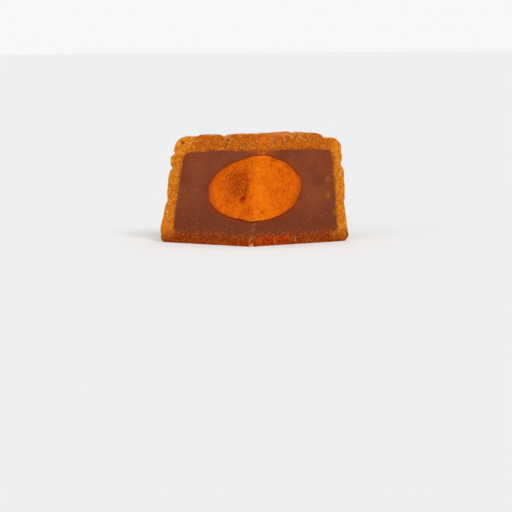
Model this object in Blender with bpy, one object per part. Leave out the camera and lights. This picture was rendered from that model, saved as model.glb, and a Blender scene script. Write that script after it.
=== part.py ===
"""A wedge cut from a baked mooncake: fluted crust, lotus paste and one salted egg yolk.

The flat base is on z = 0. The front edge of the wedge, where its two cut faces meet,
points to -Y, and the fluted outer wall looks to +Y. Lengths are metres.

Both knife cuts lean, and meet in one leaning line, the tip. A point of the wedge is
given by its distance from the tip, its height and a heading, which turns from the left
cut to the right cut about the tip. Heading 0 looks along +Y.
"""

import math

import bmesh
import bpy
from mathutils import Vector, noise

MM = 0.001

# The whole cake: its upright axis, its wall and its raised rim
AXIS_X = 0.0 * MM
AXIS_Y = -18.3 * MM
WALL_RADIUS = 37.1 * MM
WALL_TAPER = 0.3 * MM
WALL_TOP = 29.2 * MM
BASE_EDGE_RADIUS = 2.3 * MM
LOBE_TOP_HEIGHT = 27.6 * MM
CREASE_DEPTH = 1.1 * MM
RIM_HEIGHT = 34.3 * MM
RIM_CREST_RADIUS = 31.5 * MM
RIM_OUTER_RADIUS = 36.35 * MM
RIM_ASIDE = 0.25 * MM
RIM_SQUARENESS = 0.8
RIM_GROOVE_RADIUS = 30.2 * MM
RIM_GROOVE_HEIGHT = 33.6 * MM
TOP_SLOPE = 0.011

# The flutes pressed into the wall
FLUTES = 18
FLUTE_DEPTH = 1.5 * MM
FLUTE_ROUNDNESS = 3.2
FLUTE_PHASE = math.radians(62.0)
FLUTE_SWAY = math.radians(0.3)
FLUTE_SWAY_LENGTH = 17.0 * MM
FLUTE_END = 1.5 * MM

# The pattern pressed into the top: a lobed flower, then knobs and notched leaves
FLOOR_HEIGHT = 32.2 * MM
FLOWER_HEIGHT = 35.5 * MM
KNOB_HEIGHT = 35.1 * MM
LEAF_HEIGHT = 34.8 * MM
FLOWER_LOBES = 3
FLOWER_TURN = math.radians(-25.0)
FLOWER_RADIUS = 13.4 * MM
FLOWER_SWING = 3.4 * MM
GAP_WIDTH = 0.6 * MM
RING_RADIUS = 29.6 * MM
RING_PAIRS = 6
RING_TURN = math.radians(-43.0)
KNOB_MIDDLE = 22.6 * MM
KNOB_RADIUS = 6.2 * MM
KNOB_DISH = 0.35 * MM
LEAF_HALF_WIDTH = 5.2 * MM
LEAF_BLUNTNESS = 0.3
LEAF_NOTCHES = 4
FIRST_NOTCH = 14.95 * MM
NOTCH_SPACING = 3.2 * MM
NOTCH_SLANT = 0.3
NOTCH_FALL = 0.5
NOTCH_RISE = 0.3
NOTCH_DEPTH = 1.5 * MM
LEAF_SOFTNESS = 2.2 * MM
KNOB_SOFTNESS = 1.9 * MM
FLOWER_SOFTNESS = 2.0 * MM
FLOWER_FOOT = 0.1 * MM
FLOOR_RISE_WIDTH = 3.0 * MM

# Beside the left cut the pattern's floor came out shallow
FILLED_HEIGHT = 34.1 * MM
FILLED_X = -14.0 * MM
FILLED_Y = 0.0 * MM
FILLED_INNER = 6.0 * MM
FILLED_OUTER = 13.0 * MM

# The top has risen a little right of its middle
BULGE_RISE = 1.3 * MM
BULGE_X = 14.0 * MM
BULGE_Y = -2.0 * MM
BULGE_REACH = 13.0 * MM
BULGE_FADE_START = 27.0 * MM

# The two knife cuts
TIP_X = -1.15 * MM
TIP_Y = AXIS_Y
TIP_LEAN_X = 0.131
TIP_LEAN_Y = 0.188
LEFT_CUT = math.radians(-56.5)
RIGHT_CUT = math.radians(58.0)

# Dents and swellings in the wall beside the cuts: side, height, depth and half-height
CUT_DENTS = (
    (LEFT_CUT, 27.3 * MM, -0.5 * MM, 1.6 * MM),
    (LEFT_CUT, 24.1 * MM, 0.9 * MM, 0.7 * MM),
    (LEFT_CUT, 14.0 * MM, 0.6 * MM, 1.3 * MM),
    (LEFT_CUT, 4.8 * MM, -1.0 * MM, 3.6 * MM),
    (RIGHT_CUT, 29.4 * MM, -0.5 * MM, 0.9 * MM),
    (RIGHT_CUT, 27.2 * MM, 0.45 * MM, 1.4 * MM),
    (RIGHT_CUT, 25.3 * MM, 0.9 * MM, 1.0 * MM),
    (RIGHT_CUT, 11.0 * MM, 0.5 * MM, 3.6 * MM),
    (RIGHT_CUT, 2.0 * MM, -0.4 * MM, 1.6 * MM),
)
DENT_REACH = math.radians(5.0)
CORNER_DISTANCE = 35.0 * MM

# The lotus paste
PASTE_RADIUS = 32.4 * MM
PASTE_ASIDE = 0.3 * MM
PASTE_BOTTOM = 3.2 * MM
PASTE_TOP = 30.2 * MM
PASTE_EDGE_RADIUS = 2.2 * MM
SHOULDER_DROP = 0.7 * MM
SHOULDER_START = 18.0 * MM
SHOULDER_END = 27.0 * MM
PASTE_SLOPE = 0.015

# The yolk, pressed flat in the baking, fuller below than above
YOLK_HEIGHT = 18.5 * MM
YOLK_HALF_HEIGHT = 10.4 * MM
YOLK_LEFT_WIDTH = 19.1 * MM
YOLK_RIGHT_WIDTH = 16.5 * MM
YOLK_SAG = 0.09
YOLK_SAG_ENDS = 0.14
YOLK_BLUNTNESS = 1.6 * MM
YOLK_BLUNT_REACH = 10.0 * MM
HOLLOW_EDGE = 4.2 * MM
HOLLOW_SOFTNESS = 1.0 * MM
HOLLOW_FLAT = 1.5 * MM
HOLLOW_END = 15.0 * MM
HOLLOW_HEIGHT = 19.0 * MM
HOLLOW_HALF_HEIGHT = 3.6 * MM
HOLLOW_DEPTH = 1.3 * MM

# Crumbly cut edge of the crust
CRUMB_DEPTH = 0.45 * MM
CRUMB_SIZE = 2.6 * MM
CRUMB_FADE = 3.0 * MM

# Clearance between neighbouring pieces
GAP = 0.3 * MM

# How finely the surfaces are divided
HEADINGS = 72
INSIDE_STEP = 4
YOLK_STEP = 4
BASE_PARTS = (0.0, 0.16, 0.36, 0.56, 0.76, 0.9, 1.0)
CORNER_ANGLES = (math.radians(30.0), math.radians(60.0))
RIM_ANGLES = tuple(math.radians(a) for a in (12.0, 34.0, 56.0, 76.0))
WALL_STEPS = 12
FLOWER_STEPS = 7
RING_STEPS = 26
YOLK_STEPS = 22
CRUST_RINGS = 3
PASTE_RINGS = 4
YOLK_RINGS = 7
PASTE_BASE_STEPS = 6
PASTE_WALL_STEPS = 7
REACH_ROUNDS = 8
TOP_ROUNDS = 3
MERGE_DISTANCE = 0.001 * MM
SHARP_ANGLE = math.radians(40.0)

# Plain colours and roughness
BAKED_CRUST = (0.62, 0.20, 0.03)
CRUST_ROUGHNESS = 0.6
LOTUS_PASTE = (0.22, 0.052, 0.018)
PASTE_ROUGHNESS = 0.45
SALTED_YOLK = (0.72, 0.13, 0.004)
YOLK_ROUGHNESS = 0.5


def blend(low, high, value):
    """Rises smoothly from 0 at low to 1 at high."""
    x = min(1.0, max(0.0, (value - low) / (high - low)))
    return x * x * (3.0 - 2.0 * x)


def fraction_steps(count):
    return [i / count for i in range(count + 1)]


def heading_list(step):
    """The headings from the left cut to the right cut, every step-th one."""
    span = RIGHT_CUT - LEFT_CUT
    return [LEFT_CUT + span * i / HEADINGS for i in range(0, HEADINGS + 1, step)]


def place(distance, height, heading):
    """The point at a distance from the leaning tip line, along a heading."""
    x = TIP_X + TIP_LEAN_X * height + distance * math.sin(heading)
    y = TIP_Y + TIP_LEAN_Y * height + distance * math.cos(heading)
    return Vector((x, y, height))


def about_axis(point):
    """Radius and azimuth of a point about the cake's own axis; azimuth 0 is +Y."""
    x = point.x - AXIS_X
    y = point.y - AXIS_Y
    return math.hypot(x, y), math.atan2(x, y)


def reach(radius_at, height, heading):
    """Distance from the tip at which a heading meets the radius given for an azimuth."""
    start = place(0.0, height, heading)
    x = start.x - AXIS_X
    y = start.y - AXIS_Y
    along = x * math.sin(heading) + y * math.cos(heading)
    azimuth = heading
    distance = 0.0
    for _ in range(REACH_ROUNDS):
        radius = radius_at(azimuth)
        distance = math.sqrt(radius**2 - x**2 - y**2 + along**2) - along
        azimuth = about_axis(place(distance, height, heading))[1]
    return distance


def flute_groove(azimuth, height):
    """0 on the crest of a lobe, 1 at the bottom of the groove between two lobes."""
    sway = FLUTE_SWAY * math.sin(height / FLUTE_SWAY_LENGTH * math.tau)
    turns = (azimuth + sway - FLUTE_PHASE) * FLUTES / math.tau
    across = 2.0 * (turns - math.floor(turns)) - 1.0
    return abs(across) ** FLUTE_ROUNDNESS


def wall_radius(azimuth, height):
    """Radius of the fluted wall, with its dents beside the cuts."""
    radius = WALL_RADIUS - WALL_TAPER * height / WALL_TOP
    fade = 1.0 - blend(LOBE_TOP_HEIGHT - FLUTE_END, WALL_TOP, height)
    radius -= FLUTE_DEPTH * flute_groove(azimuth, height) * fade
    radius -= CREASE_DEPTH * blend(LOBE_TOP_HEIGHT, WALL_TOP, height)
    for side, dent_height, depth, half_height in CUT_DENTS:
        corner = about_axis(place(CORNER_DISTANCE, dent_height, side))[1]
        up = (height - dent_height) / half_height
        along = (azimuth - corner) / DENT_REACH
        radius -= depth * math.exp(-up * up - along * along)
    return radius


def turn_in(azimuth, start, count):
    """-1 to 1 across one of count equal sectors, of which one has its middle at start."""
    turns = (azimuth - start) * count / math.tau
    return 2.0 * (turns - math.floor(turns + 0.5))


def flower_edge(azimuth):
    lobe = turn_in(azimuth, FLOWER_TURN, FLOWER_LOBES)
    return FLOWER_RADIUS + FLOWER_SWING * math.cos(lobe * math.pi)


def ring_radius(azimuth, part):
    """Radius across the ring of knobs and leaves, from its inner edge to its outer one."""
    inner = flower_edge(azimuth) + GAP_WIDTH
    return inner + (RING_RADIUS - inner) * part


def knob(radius, turn):
    """How far a place is raised by a knob, 0 to 1, and how high the knob is there."""
    off = math.hypot(radius * math.sin(turn), radius * math.cos(turn) - KNOB_MIDDLE)
    raised = blend(0.0, KNOB_SOFTNESS, KNOB_RADIUS - off)
    dish = KNOB_DISH * (1.0 - blend(0.0, KNOB_RADIUS - KNOB_SOFTNESS, off))
    return raised, KNOB_HEIGHT - dish


def notch(along):
    """Depth of the notches across a leaf, 0 to 1; each falls slowly and rises quickly."""
    part = (along - FIRST_NOTCH) / NOTCH_SPACING
    if not -NOTCH_FALL < part < LEAF_NOTCHES - 1.0 + NOTCH_RISE:
        return 0.0
    past = part - math.floor(part)
    return max(1.0 - past / NOTCH_RISE, 1.0 - (1.0 - past) / NOTCH_FALL, 0.0)


def leaf(radius, turn):
    """How far a place is raised by a notched leaf, and how high the leaf is there."""
    across = abs(radius * math.sin(turn))
    along = radius * math.cos(turn)
    inner = FLOWER_RADIUS - FLOWER_SWING + GAP_WIDTH
    part = (along - inner) / (RING_RADIUS - inner)
    if not 0.0 < part < 1.0:
        return 0.0, LEAF_HEIGHT
    width = LEAF_HALF_WIDTH * math.sin(part * math.pi) ** LEAF_BLUNTNESS
    raised = blend(0.0, LEAF_SOFTNESS, width - across)
    return raised, LEAF_HEIGHT - NOTCH_DEPTH * notch(along + NOTCH_SLANT * across)


def filled_up(radius, azimuth):
    """1 where the pattern's floor came out shallow, beside the left cut, else 0."""
    across = radius * math.sin(azimuth) + AXIS_X - FILLED_X
    along = radius * math.cos(azimuth) + AXIS_Y - FILLED_Y
    return 1.0 - blend(FILLED_INNER, FILLED_OUTER, math.hypot(across, along))


def pattern_height(radius, azimuth):
    """Height of the pressed pattern and of the rim's inner slope."""
    filled = filled_up(radius, azimuth)
    groove = RIM_GROOVE_HEIGHT + (FILLED_HEIGHT - RIM_GROOVE_HEIGHT) * filled
    if radius > RING_RADIUS:
        rise = blend(RIM_GROOVE_RADIUS, RIM_CREST_RADIUS, radius)
        return groove + (RIM_HEIGHT - groove) * rise
    floor = FLOOR_HEIGHT + (FILLED_HEIGHT - FLOOR_HEIGHT) * filled
    edge = flower_edge(azimuth)
    if radius < edge:
        raised = blend(0.0, FLOWER_SOFTNESS, edge - radius)
        return floor + (FLOWER_HEIGHT - floor) * raised
    rise = blend(RING_RADIUS - FLOOR_RISE_WIDTH, RING_RADIUS, radius)
    floor += (groove - floor) * rise
    half_sector = math.pi / RING_PAIRS
    turn = abs(turn_in(azimuth, RING_TURN, RING_PAIRS)) * half_sector
    raised, top = max(knob(radius, turn), leaf(radius, half_sector - turn))
    return floor + (top - floor) * raised


def top_bulge(point):
    """The top has risen a little in the oven, right of its middle, but not its rim."""
    off = math.hypot(point.x - BULGE_X, point.y - BULGE_Y) / BULGE_REACH
    inside = 1.0 - blend(BULGE_FADE_START, RIM_CREST_RADIUS, about_axis(point)[0])
    return BULGE_RISE * math.exp(-off * off) * inside


def on_top(distance, heading):
    """The distance and height of a point of the top, which slopes a little to the right."""
    height = RIM_HEIGHT
    for _ in range(TOP_ROUNDS):
        point = place(distance, height, heading)
        height = pattern_height(*about_axis(point)) + top_bulge(point)
        height -= TOP_SLOPE * (point.x - AXIS_X)
    return distance, height


def rim_radius(azimuth):
    """The rim lies a little to the left of the cake's middle."""
    return RIM_OUTER_RADIUS - RIM_ASIDE * math.sin(azimuth)


def crust_outside(heading):
    """Outline of the crust in one upright cut: base, wall, rim, top and back to the tip."""
    points = []
    foot = reach(lambda a: wall_radius(a, BASE_EDGE_RADIUS), BASE_EDGE_RADIUS, heading)
    for part in BASE_PARTS:
        points.append((part * (foot - BASE_EDGE_RADIUS), 0.0))
    for angle in CORNER_ANGLES:
        out = foot - BASE_EDGE_RADIUS * (1.0 - math.sin(angle))
        points.append((out, BASE_EDGE_RADIUS * (1.0 - math.cos(angle))))
    for part in fraction_steps(WALL_STEPS):
        height = BASE_EDGE_RADIUS + (LOBE_TOP_HEIGHT - BASE_EDGE_RADIUS) * part
        points.append((reach(lambda a: wall_radius(a, height), height, heading), height))
    crease = reach(lambda a: wall_radius(a, WALL_TOP), WALL_TOP, heading)
    points.append((crease, WALL_TOP))
    crest = reach(lambda a: RIM_CREST_RADIUS, RIM_HEIGHT, heading)
    brim = reach(rim_radius, WALL_TOP, heading)
    top = on_top(crest, heading)[1]
    for angle in RIM_ANGLES:
        out = crest + (brim - crest) * math.cos(angle) ** RIM_SQUARENESS
        up = WALL_TOP + (top - WALL_TOP) * math.sin(angle) ** RIM_SQUARENESS
        points.append((out, up))
    for part in (1.0, 0.5, 0.0):
        radius = RIM_GROOVE_RADIUS + (RIM_CREST_RADIUS - RIM_GROOVE_RADIUS) * part
        points.append(on_top(reach(lambda a: radius, RIM_HEIGHT, heading), heading))
    for part in reversed(fraction_steps(RING_STEPS)):
        distance = reach(lambda a: ring_radius(a, part), RIM_HEIGHT, heading)
        points.append(on_top(distance, heading))
    edge = reach(flower_edge, RIM_HEIGHT, heading)
    points.append(on_top(edge + FLOWER_FOOT, heading))
    for part in reversed(fraction_steps(FLOWER_STEPS)):
        points.append(on_top((edge - FLOWER_SOFTNESS / 2) * part, heading))
    return points


def paste_radius(azimuth, grow):
    """The filling lies a little to the right of the cake's middle."""
    return PASTE_RADIUS + PASTE_ASIDE * math.sin(azimuth) + grow


def settle(distance, height, heading):
    """The paste's top slopes a little to the left, and it has sunk beside the wall."""
    slope = PASTE_SLOPE * (place(distance, height, heading).x - AXIS_X)
    sunk = SHOULDER_DROP * blend(SHOULDER_START, SHOULDER_END, distance)
    return height + (slope - sunk) * blend(PASTE_BOTTOM, PASTE_TOP, height)


def paste_outline(heading, grow, parts):
    """Outline of the paste in one cut, at three sets of parts: bottom, wall and top."""
    bottom_parts, wall_parts, top_parts = parts
    low = PASTE_BOTTOM - grow
    high = PASTE_TOP + grow
    corner = PASTE_EDGE_RADIUS + grow
    foot = reach(lambda a: paste_radius(a, grow), low, heading) - corner
    head = reach(lambda a: paste_radius(a, grow), high, heading) - corner
    points = [(foot * part, low) for part in bottom_parts]
    for angle in CORNER_ANGLES:
        points.append((foot + corner * math.sin(angle), low + corner * (1 - math.cos(angle))))
    for part in wall_parts:
        height = low + corner + (high - low - 2.0 * corner) * part
        points.append((reach(lambda a: paste_radius(a, grow), height, heading), height))
    for angle in reversed(CORNER_ANGLES):
        points.append((head + corner * math.sin(angle), high - corner * (1 - math.cos(angle))))
    points += [(head * part, high) for part in top_parts]
    return [(out, settle(out, height, heading)) for out, height in points]


def crust_inside(heading, outside):
    """Inner outline of the crust, with one point for each point of its outside."""
    first_top = len(BASE_PARTS) + 2 * len(CORNER_ANGLES) + WALL_STEPS + 1
    top_start = outside[first_top][0]
    top = [point[0] / top_start for point in outside[first_top:]]
    return paste_outline(heading, GAP / 2, (BASE_PARTS, fraction_steps(WALL_STEPS), top))


def yolk_outline(heading, grow, count):
    """Half outline of the yolk in one cut, from below the tip round to above it."""
    turn = (heading - LEFT_CUT) / (RIGHT_CUT - LEFT_CUT)
    width = YOLK_LEFT_WIDTH + (YOLK_RIGHT_WIDTH - YOLK_LEFT_WIDTH) * turn
    points = []
    for part in fraction_steps(count):
        angle = math.pi * (part - 0.5)
        rise = math.sin(angle)
        sag = 1.0 - YOLK_SAG * rise - YOLK_SAG_ENDS * rise**3
        out = (width * sag + grow) * math.cos(angle)
        points.append((max(out, 0.0), YOLK_HEIGHT + (YOLK_HALF_HEIGHT + grow) * rise))
    points[0] = (0.0, points[0][1])
    points[-1] = (0.0, points[-1][1])
    return points


def crumb_relief(point, distance, inward):
    """The crust breaks unevenly along the knife: a small shift square to the cut."""
    bump = noise.noise(point / CRUMB_SIZE) + 0.5 * noise.noise(point * 2.0 / CRUMB_SIZE)
    return inward * CRUMB_DEPTH * bump * blend(0.0, CRUMB_FADE, distance)


def no_relief(point, distance, inward):
    return Vector((0.0, 0.0, 0.0))


def yolk_blunting(height, distance):
    """The yolk's front edge gives way under the knife, most of all at its mid-height."""
    inside = 1.0 - ((height - YOLK_HEIGHT) / YOLK_HALF_HEIGHT) ** 2
    blunt = YOLK_BLUNTNESS * max(inside, 0.0)
    back = distance * math.cos(RIGHT_CUT)
    depth = (math.hypot(back, blunt) - back) * (1.0 - blend(0.0, YOLK_BLUNT_REACH, distance))
    return Vector((0.0, depth, 0.0))


def yolk_relief(point, distance, inward):
    """The yolk's edge is blunt at the tip, and its left face has a hollow."""
    shift = yolk_blunting(point.z, distance)
    if inward.x > 0.0:
        edge = blend(HOLLOW_EDGE - HOLLOW_SOFTNESS, HOLLOW_EDGE + HOLLOW_SOFTNESS, distance)
        far = 1.0 - blend(HOLLOW_EDGE + HOLLOW_FLAT, HOLLOW_END, distance)
        up = (point.z - HOLLOW_HEIGHT) / HOLLOW_HALF_HEIGHT
        shift += inward * HOLLOW_DEPTH * edge * far * math.exp(-up * up)
    return shift


def tip_distance(point):
    """How far a point lies from the tip line at its own height."""
    return (point - place(0.0, point.z, 0.0)).length


def inward_normal(side):
    """Direction square to a knife cut that points into the wedge."""
    along = Vector((math.sin(side), math.cos(side), 0.0))
    up = Vector((TIP_LEAN_X, TIP_LEAN_Y, 1.0))
    normal = along.cross(up).normalized()
    middle = Vector((0.0, 1.0, 0.0))
    return normal if normal.dot(middle) > 0.0 else -normal


def add_strip(mesh, first, second):
    """Quads between two rows of vertices of equal length."""
    for i in range(len(first) - 1):
        mesh.faces.new((first[i], first[i + 1], second[i + 1], second[i]))


def add_skin(mesh, rows):
    for first, second in zip(rows, rows[1:]):
        add_strip(mesh, first, second)


def add_cut_face(mesh, outer, inner, rings, side, relief):
    """Closes one knife cut between the outer and the inner row of vertices."""
    inward = inward_normal(side)
    rows = [outer]
    for ring in range(1, rings):
        row = []
        for start, end in zip(outer, inner):
            point = start.co.lerp(end.co, ring / rings)
            row.append(mesh.verts.new(point + relief(point, tip_distance(point), inward)))
        rows.append(row)
    rows.append(inner)
    add_skin(mesh, rows)


def add_rows(mesh, outline_at, step):
    """Rows of vertices, one for each heading, that follow an outline."""
    rows = []
    for heading in heading_list(step):
        rows.append([mesh.verts.new(place(*p, heading)) for p in outline_at(heading)])
    return rows


def finish_piece(mesh, name, collection, material):
    """Joins the rows at the tip, splits quads along their flat way and makes the object."""
    bmesh.ops.remove_doubles(mesh, verts=mesh.verts, dist=MERGE_DISTANCE)
    bmesh.ops.recalc_face_normals(mesh, faces=mesh.faces)
    bmesh.ops.triangulate(mesh, faces=mesh.faces, quad_method="SHORT_EDGE")
    data = bpy.data.meshes.new(name)
    mesh.to_mesh(data)
    mesh.free()
    data.shade_smooth()
    data.set_sharp_from_angle(angle=SHARP_ANGLE)
    data.materials.append(material)
    piece = bpy.data.objects.new(name, data)
    collection.objects.link(piece)
    return piece


def make_crust(collection, material):
    """The baked shell: a fluted wall, a flat base and a pressed top round the paste."""
    mesh = bmesh.new()
    outer = add_rows(mesh, crust_outside, 1)
    inner = add_rows(mesh, lambda h: crust_inside(h, crust_outside(h)), INSIDE_STEP)
    add_skin(mesh, outer)
    add_skin(mesh, inner)
    add_cut_face(mesh, outer[0], inner[0], CRUST_RINGS, LEFT_CUT, crumb_relief)
    add_cut_face(mesh, outer[-1], inner[-1], CRUST_RINGS, RIGHT_CUT, crumb_relief)
    return finish_piece(mesh, "crust", collection, material)


def make_paste(collection, material):
    """The lotus paste: it fills the crust and holds the yolk."""
    mesh = bmesh.new()
    across = fraction_steps(PASTE_BASE_STEPS)
    parts = (across, fraction_steps(PASTE_WALL_STEPS), across[::-1])
    count = sum(len(group) for group in parts) + 2 * len(CORNER_ANGLES) - 1
    outer = add_rows(mesh, lambda h: paste_outline(h, -GAP / 2, parts), INSIDE_STEP)
    inner = add_rows(mesh, lambda h: yolk_outline(h, GAP, count), YOLK_STEP)
    add_skin(mesh, outer)
    add_skin(mesh, inner)
    add_cut_face(mesh, outer[0], inner[0], PASTE_RINGS, LEFT_CUT, no_relief)
    add_cut_face(mesh, outer[-1], inner[-1], PASTE_RINGS, RIGHT_CUT, no_relief)
    return finish_piece(mesh, "lotus_paste", collection, material)


def make_yolk(collection, material):
    """The sector of the salted yolk, with its hollow and its blunt front edge."""
    mesh = bmesh.new()
    rows = add_rows(mesh, lambda h: yolk_outline(h, 0.0, YOLK_STEPS), YOLK_STEP)
    add_skin(mesh, rows)
    heights = [point[1] for point in yolk_outline(LEFT_CUT, 0.0, YOLK_STEPS)]
    for row, side in ((rows[0], LEFT_CUT), (rows[-1], RIGHT_CUT)):
        tip = []
        for height in heights:
            tip.append(mesh.verts.new(place(0.0, height, side) + yolk_blunting(height, 0.0)))
        add_cut_face(mesh, row, tip, YOLK_RINGS, side, yolk_relief)
    return finish_piece(mesh, "yolk", collection, material)


def plain_material(name, colour, roughness):
    material = bpy.data.materials.new(name)
    material.use_nodes = True
    shader = material.node_tree.nodes["Principled BSDF"]
    shader.inputs["Base Color"].default_value = (*colour, 1.0)
    shader.inputs["Roughness"].default_value = roughness
    shader.inputs["Metallic"].default_value = 0.0
    return material


def clear_scene():
    for item in list(bpy.data.objects):
        bpy.data.objects.remove(item, do_unlink=True)


def main():
    clear_scene()
    wedge = bpy.data.collections.new("mooncake_wedge")
    bpy.context.scene.collection.children.link(wedge)
    make_crust(wedge, plain_material("baked_crust", BAKED_CRUST, CRUST_ROUGHNESS))
    make_paste(wedge, plain_material("lotus_paste", LOTUS_PASTE, PASTE_ROUGHNESS))
    make_yolk(wedge, plain_material("salted_yolk", SALTED_YOLK, YOLK_ROUGHNESS))


main()
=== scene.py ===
# %% [markdown]
# # A wedge cut from a baked mooncake
# The wedge has three parts that a baker would name: the baked crust, the lotus paste and
# the salted egg yolk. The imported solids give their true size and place. This lesson models
# each of them again as a fine mesh, with crumbs, cracks and grain that a solid for a
# simulator can't carry, and then gives each its finish.

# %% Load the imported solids
import math
import random

import bmesh
import bpy
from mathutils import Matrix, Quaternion, Vector, noise


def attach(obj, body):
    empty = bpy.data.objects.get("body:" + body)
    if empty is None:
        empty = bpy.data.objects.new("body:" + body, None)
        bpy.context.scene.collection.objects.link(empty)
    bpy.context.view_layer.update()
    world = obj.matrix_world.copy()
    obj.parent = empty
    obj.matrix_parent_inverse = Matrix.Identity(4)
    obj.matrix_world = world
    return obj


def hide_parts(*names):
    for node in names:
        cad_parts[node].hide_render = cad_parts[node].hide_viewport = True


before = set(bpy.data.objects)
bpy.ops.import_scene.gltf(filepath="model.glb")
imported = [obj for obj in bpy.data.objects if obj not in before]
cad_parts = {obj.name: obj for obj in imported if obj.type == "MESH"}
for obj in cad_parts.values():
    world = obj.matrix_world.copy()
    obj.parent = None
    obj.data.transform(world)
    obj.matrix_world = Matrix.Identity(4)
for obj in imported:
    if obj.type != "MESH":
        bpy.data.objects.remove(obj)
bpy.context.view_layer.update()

MM = 0.001
print("solids:", ", ".join(sorted(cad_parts)))

# %% [markdown]
# ## The camera
# The wedge is looked at from far off and only a little from above, through a long lens, so
# its upright edges stay nearly parallel. A wide lens from close by would show more of the
# top, but would spread the two cut faces apart. The camera has a slight roll, because the
# table line of the picture isn't quite level.

# %% Set up the camera
EYE = Vector((0.53, -698.3, 62.8)) * MM
AIM = Vector((0.53, -18.3, -2.94)) * MM
ROLL = math.radians(-0.35)
LENS = 150.1


def set_up_camera():
    camera = bpy.data.objects.new("camera", bpy.data.cameras.new("camera"))
    bpy.context.scene.collection.objects.link(camera)
    camera.data.lens = LENS
    camera.location = EYE
    camera.rotation_mode = "QUATERNION"
    aim = (AIM - EYE).to_track_quat("-Z", "Y")
    camera.rotation_quaternion = aim @ Quaternion((0.0, 0.0, 1.0), ROLL)
    bpy.context.scene.camera = camera
    return camera


camera = set_up_camera()
print("camera", round((AIM - EYE).length, 3), "m from the wedge")

# %% [markdown]
# ## Points of a wedge
# Both knife cuts lean, and they meet in one leaning line, the tip. It is easiest to fan the
# whole wedge about that line: a point is given by its distance from the tip, its height, and
# a heading that turns from the left cut to the right cut. A round outline of the cake, such
# as its wall, is given by a radius about the cake's own upright axis, and `reach` finds how
# far from the tip a heading meets it. The same could be done by cutting a full cake with
# Booleans, but then the cut faces couldn't be divided finely and evenly.

# %% Place points about the tip
AXIS_X = 0.0 * MM
AXIS_Y = -18.3 * MM
TIP_X = -1.15 * MM
TIP_Y = AXIS_Y
TIP_LEAN_X = 0.131
TIP_LEAN_Y = 0.188
LEFT_CUT = math.radians(-56.5)
RIGHT_CUT = math.radians(58.0)


def place(distance, height, heading):
    """The point at a distance from the leaning tip line, along a heading."""
    x = TIP_X + TIP_LEAN_X * height + distance * math.sin(heading)
    y = TIP_Y + TIP_LEAN_Y * height + distance * math.cos(heading)
    return Vector((x, y, height))


def about_axis(point):
    """Radius and azimuth of a point about the cake's own axis; azimuth 0 is +Y."""
    x = point.x - AXIS_X
    y = point.y - AXIS_Y
    return math.hypot(x, y), math.atan2(x, y)


def reach(radius_at, height, heading):
    """Distance from the tip at which a heading meets the radius given for an azimuth."""
    start = place(0.0, height, heading)
    x = start.x - AXIS_X
    y = start.y - AXIS_Y
    along = x * math.sin(heading) + y * math.cos(heading)
    azimuth = heading
    distance = 0.0
    for _ in range(5):
        radius = radius_at(azimuth)
        distance = math.sqrt(radius**2 - x**2 - y**2 + along**2) - along
        azimuth = about_axis(place(distance, height, heading))[1]
    return distance


print("tip line leans", round(math.degrees(math.atan(TIP_LEAN_X)), 1), "degrees to the right")

# %% [markdown]
# ## Small helpers for dough
# Dough never has a hard step or a straight line. `blend` makes every step soft, `bell` makes
# a dent or a swelling round one place, and `lumps` makes the slow, uneven swelling of baked
# dough from a noise that is the same at each run. Real surfaces are uneven at several sizes at
# once, so `relief` lays such noises over each other. A seed keeps one surface's lumps from
# being a copy of another's.

# %% Soft steps, bells and lumps


def blend(low, high, value):
    """Rises smoothly from 0 at low to 1 at high."""
    x = min(1.0, max(0.0, (value - low) / (high - low)))
    return x * x * (3.0 - 2.0 * x)


def bell(value, middle, half_width):
    """1 at the middle, falling to about a third at the half-width on either side."""
    x = (value - middle) / half_width
    return math.exp(-x * x)


def lumps(point, size, seed):
    """Uneven swelling between about -1 and 1, with lumps of the given size."""
    return noise.noise(point / size + Vector((seed, 2.0 * seed, -seed)))


def relief(point, seed, *layers):
    """Lumps of several sizes laid over each other; each layer has a size and a depth."""
    return sum(depth * lumps(point, size, seed) for size, depth in layers)


def even_steps(count):
    return [i / count for i in range(count + 1)]


def steps_down(count):
    return list(reversed(even_steps(count)))


print("helpers ready:", blend(0.0, 1.0, 0.5), round(bell(1.0, 0.0, 1.0), 2))

# %% [markdown]
# ## The fluted wall
# A mooncake is pressed in a mould whose wall has broad scallops, and its sharp ridges leave
# narrow grooves in the dough. Between two grooves the wall swells out in one broad lobe. In
# the oven the grooves close a little and waver. A power of the distance from the middle of a
# lobe gives this form: nearly flat in the middle, and steep only beside the groove.

# %% Shape the wall
WALL_RADIUS = 37.1 * MM
WALL_TAPER = 0.3 * MM
WALL_TOP = 29.2 * MM
BASE_EDGE_RADIUS = 2.3 * MM
LOBE_TOP_HEIGHT = 27.6 * MM
CREASE_DEPTH = 1.1 * MM
FLUTES = 18
FLUTE_DEPTH = 1.5 * MM
FLUTE_ROUNDNESS = 3.2
FLUTE_PHASE = math.radians(62.0)
FLUTE_SWAY = math.radians(0.3)
FLUTE_SWAY_LENGTH = 17.0 * MM
FLUTE_END = 1.5 * MM
GROOVE_WAVER = math.radians(0.2)
GROOVE_WAVER_SIZE = 5.0 * MM
GROOVE_SEED = 3.0

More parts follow.
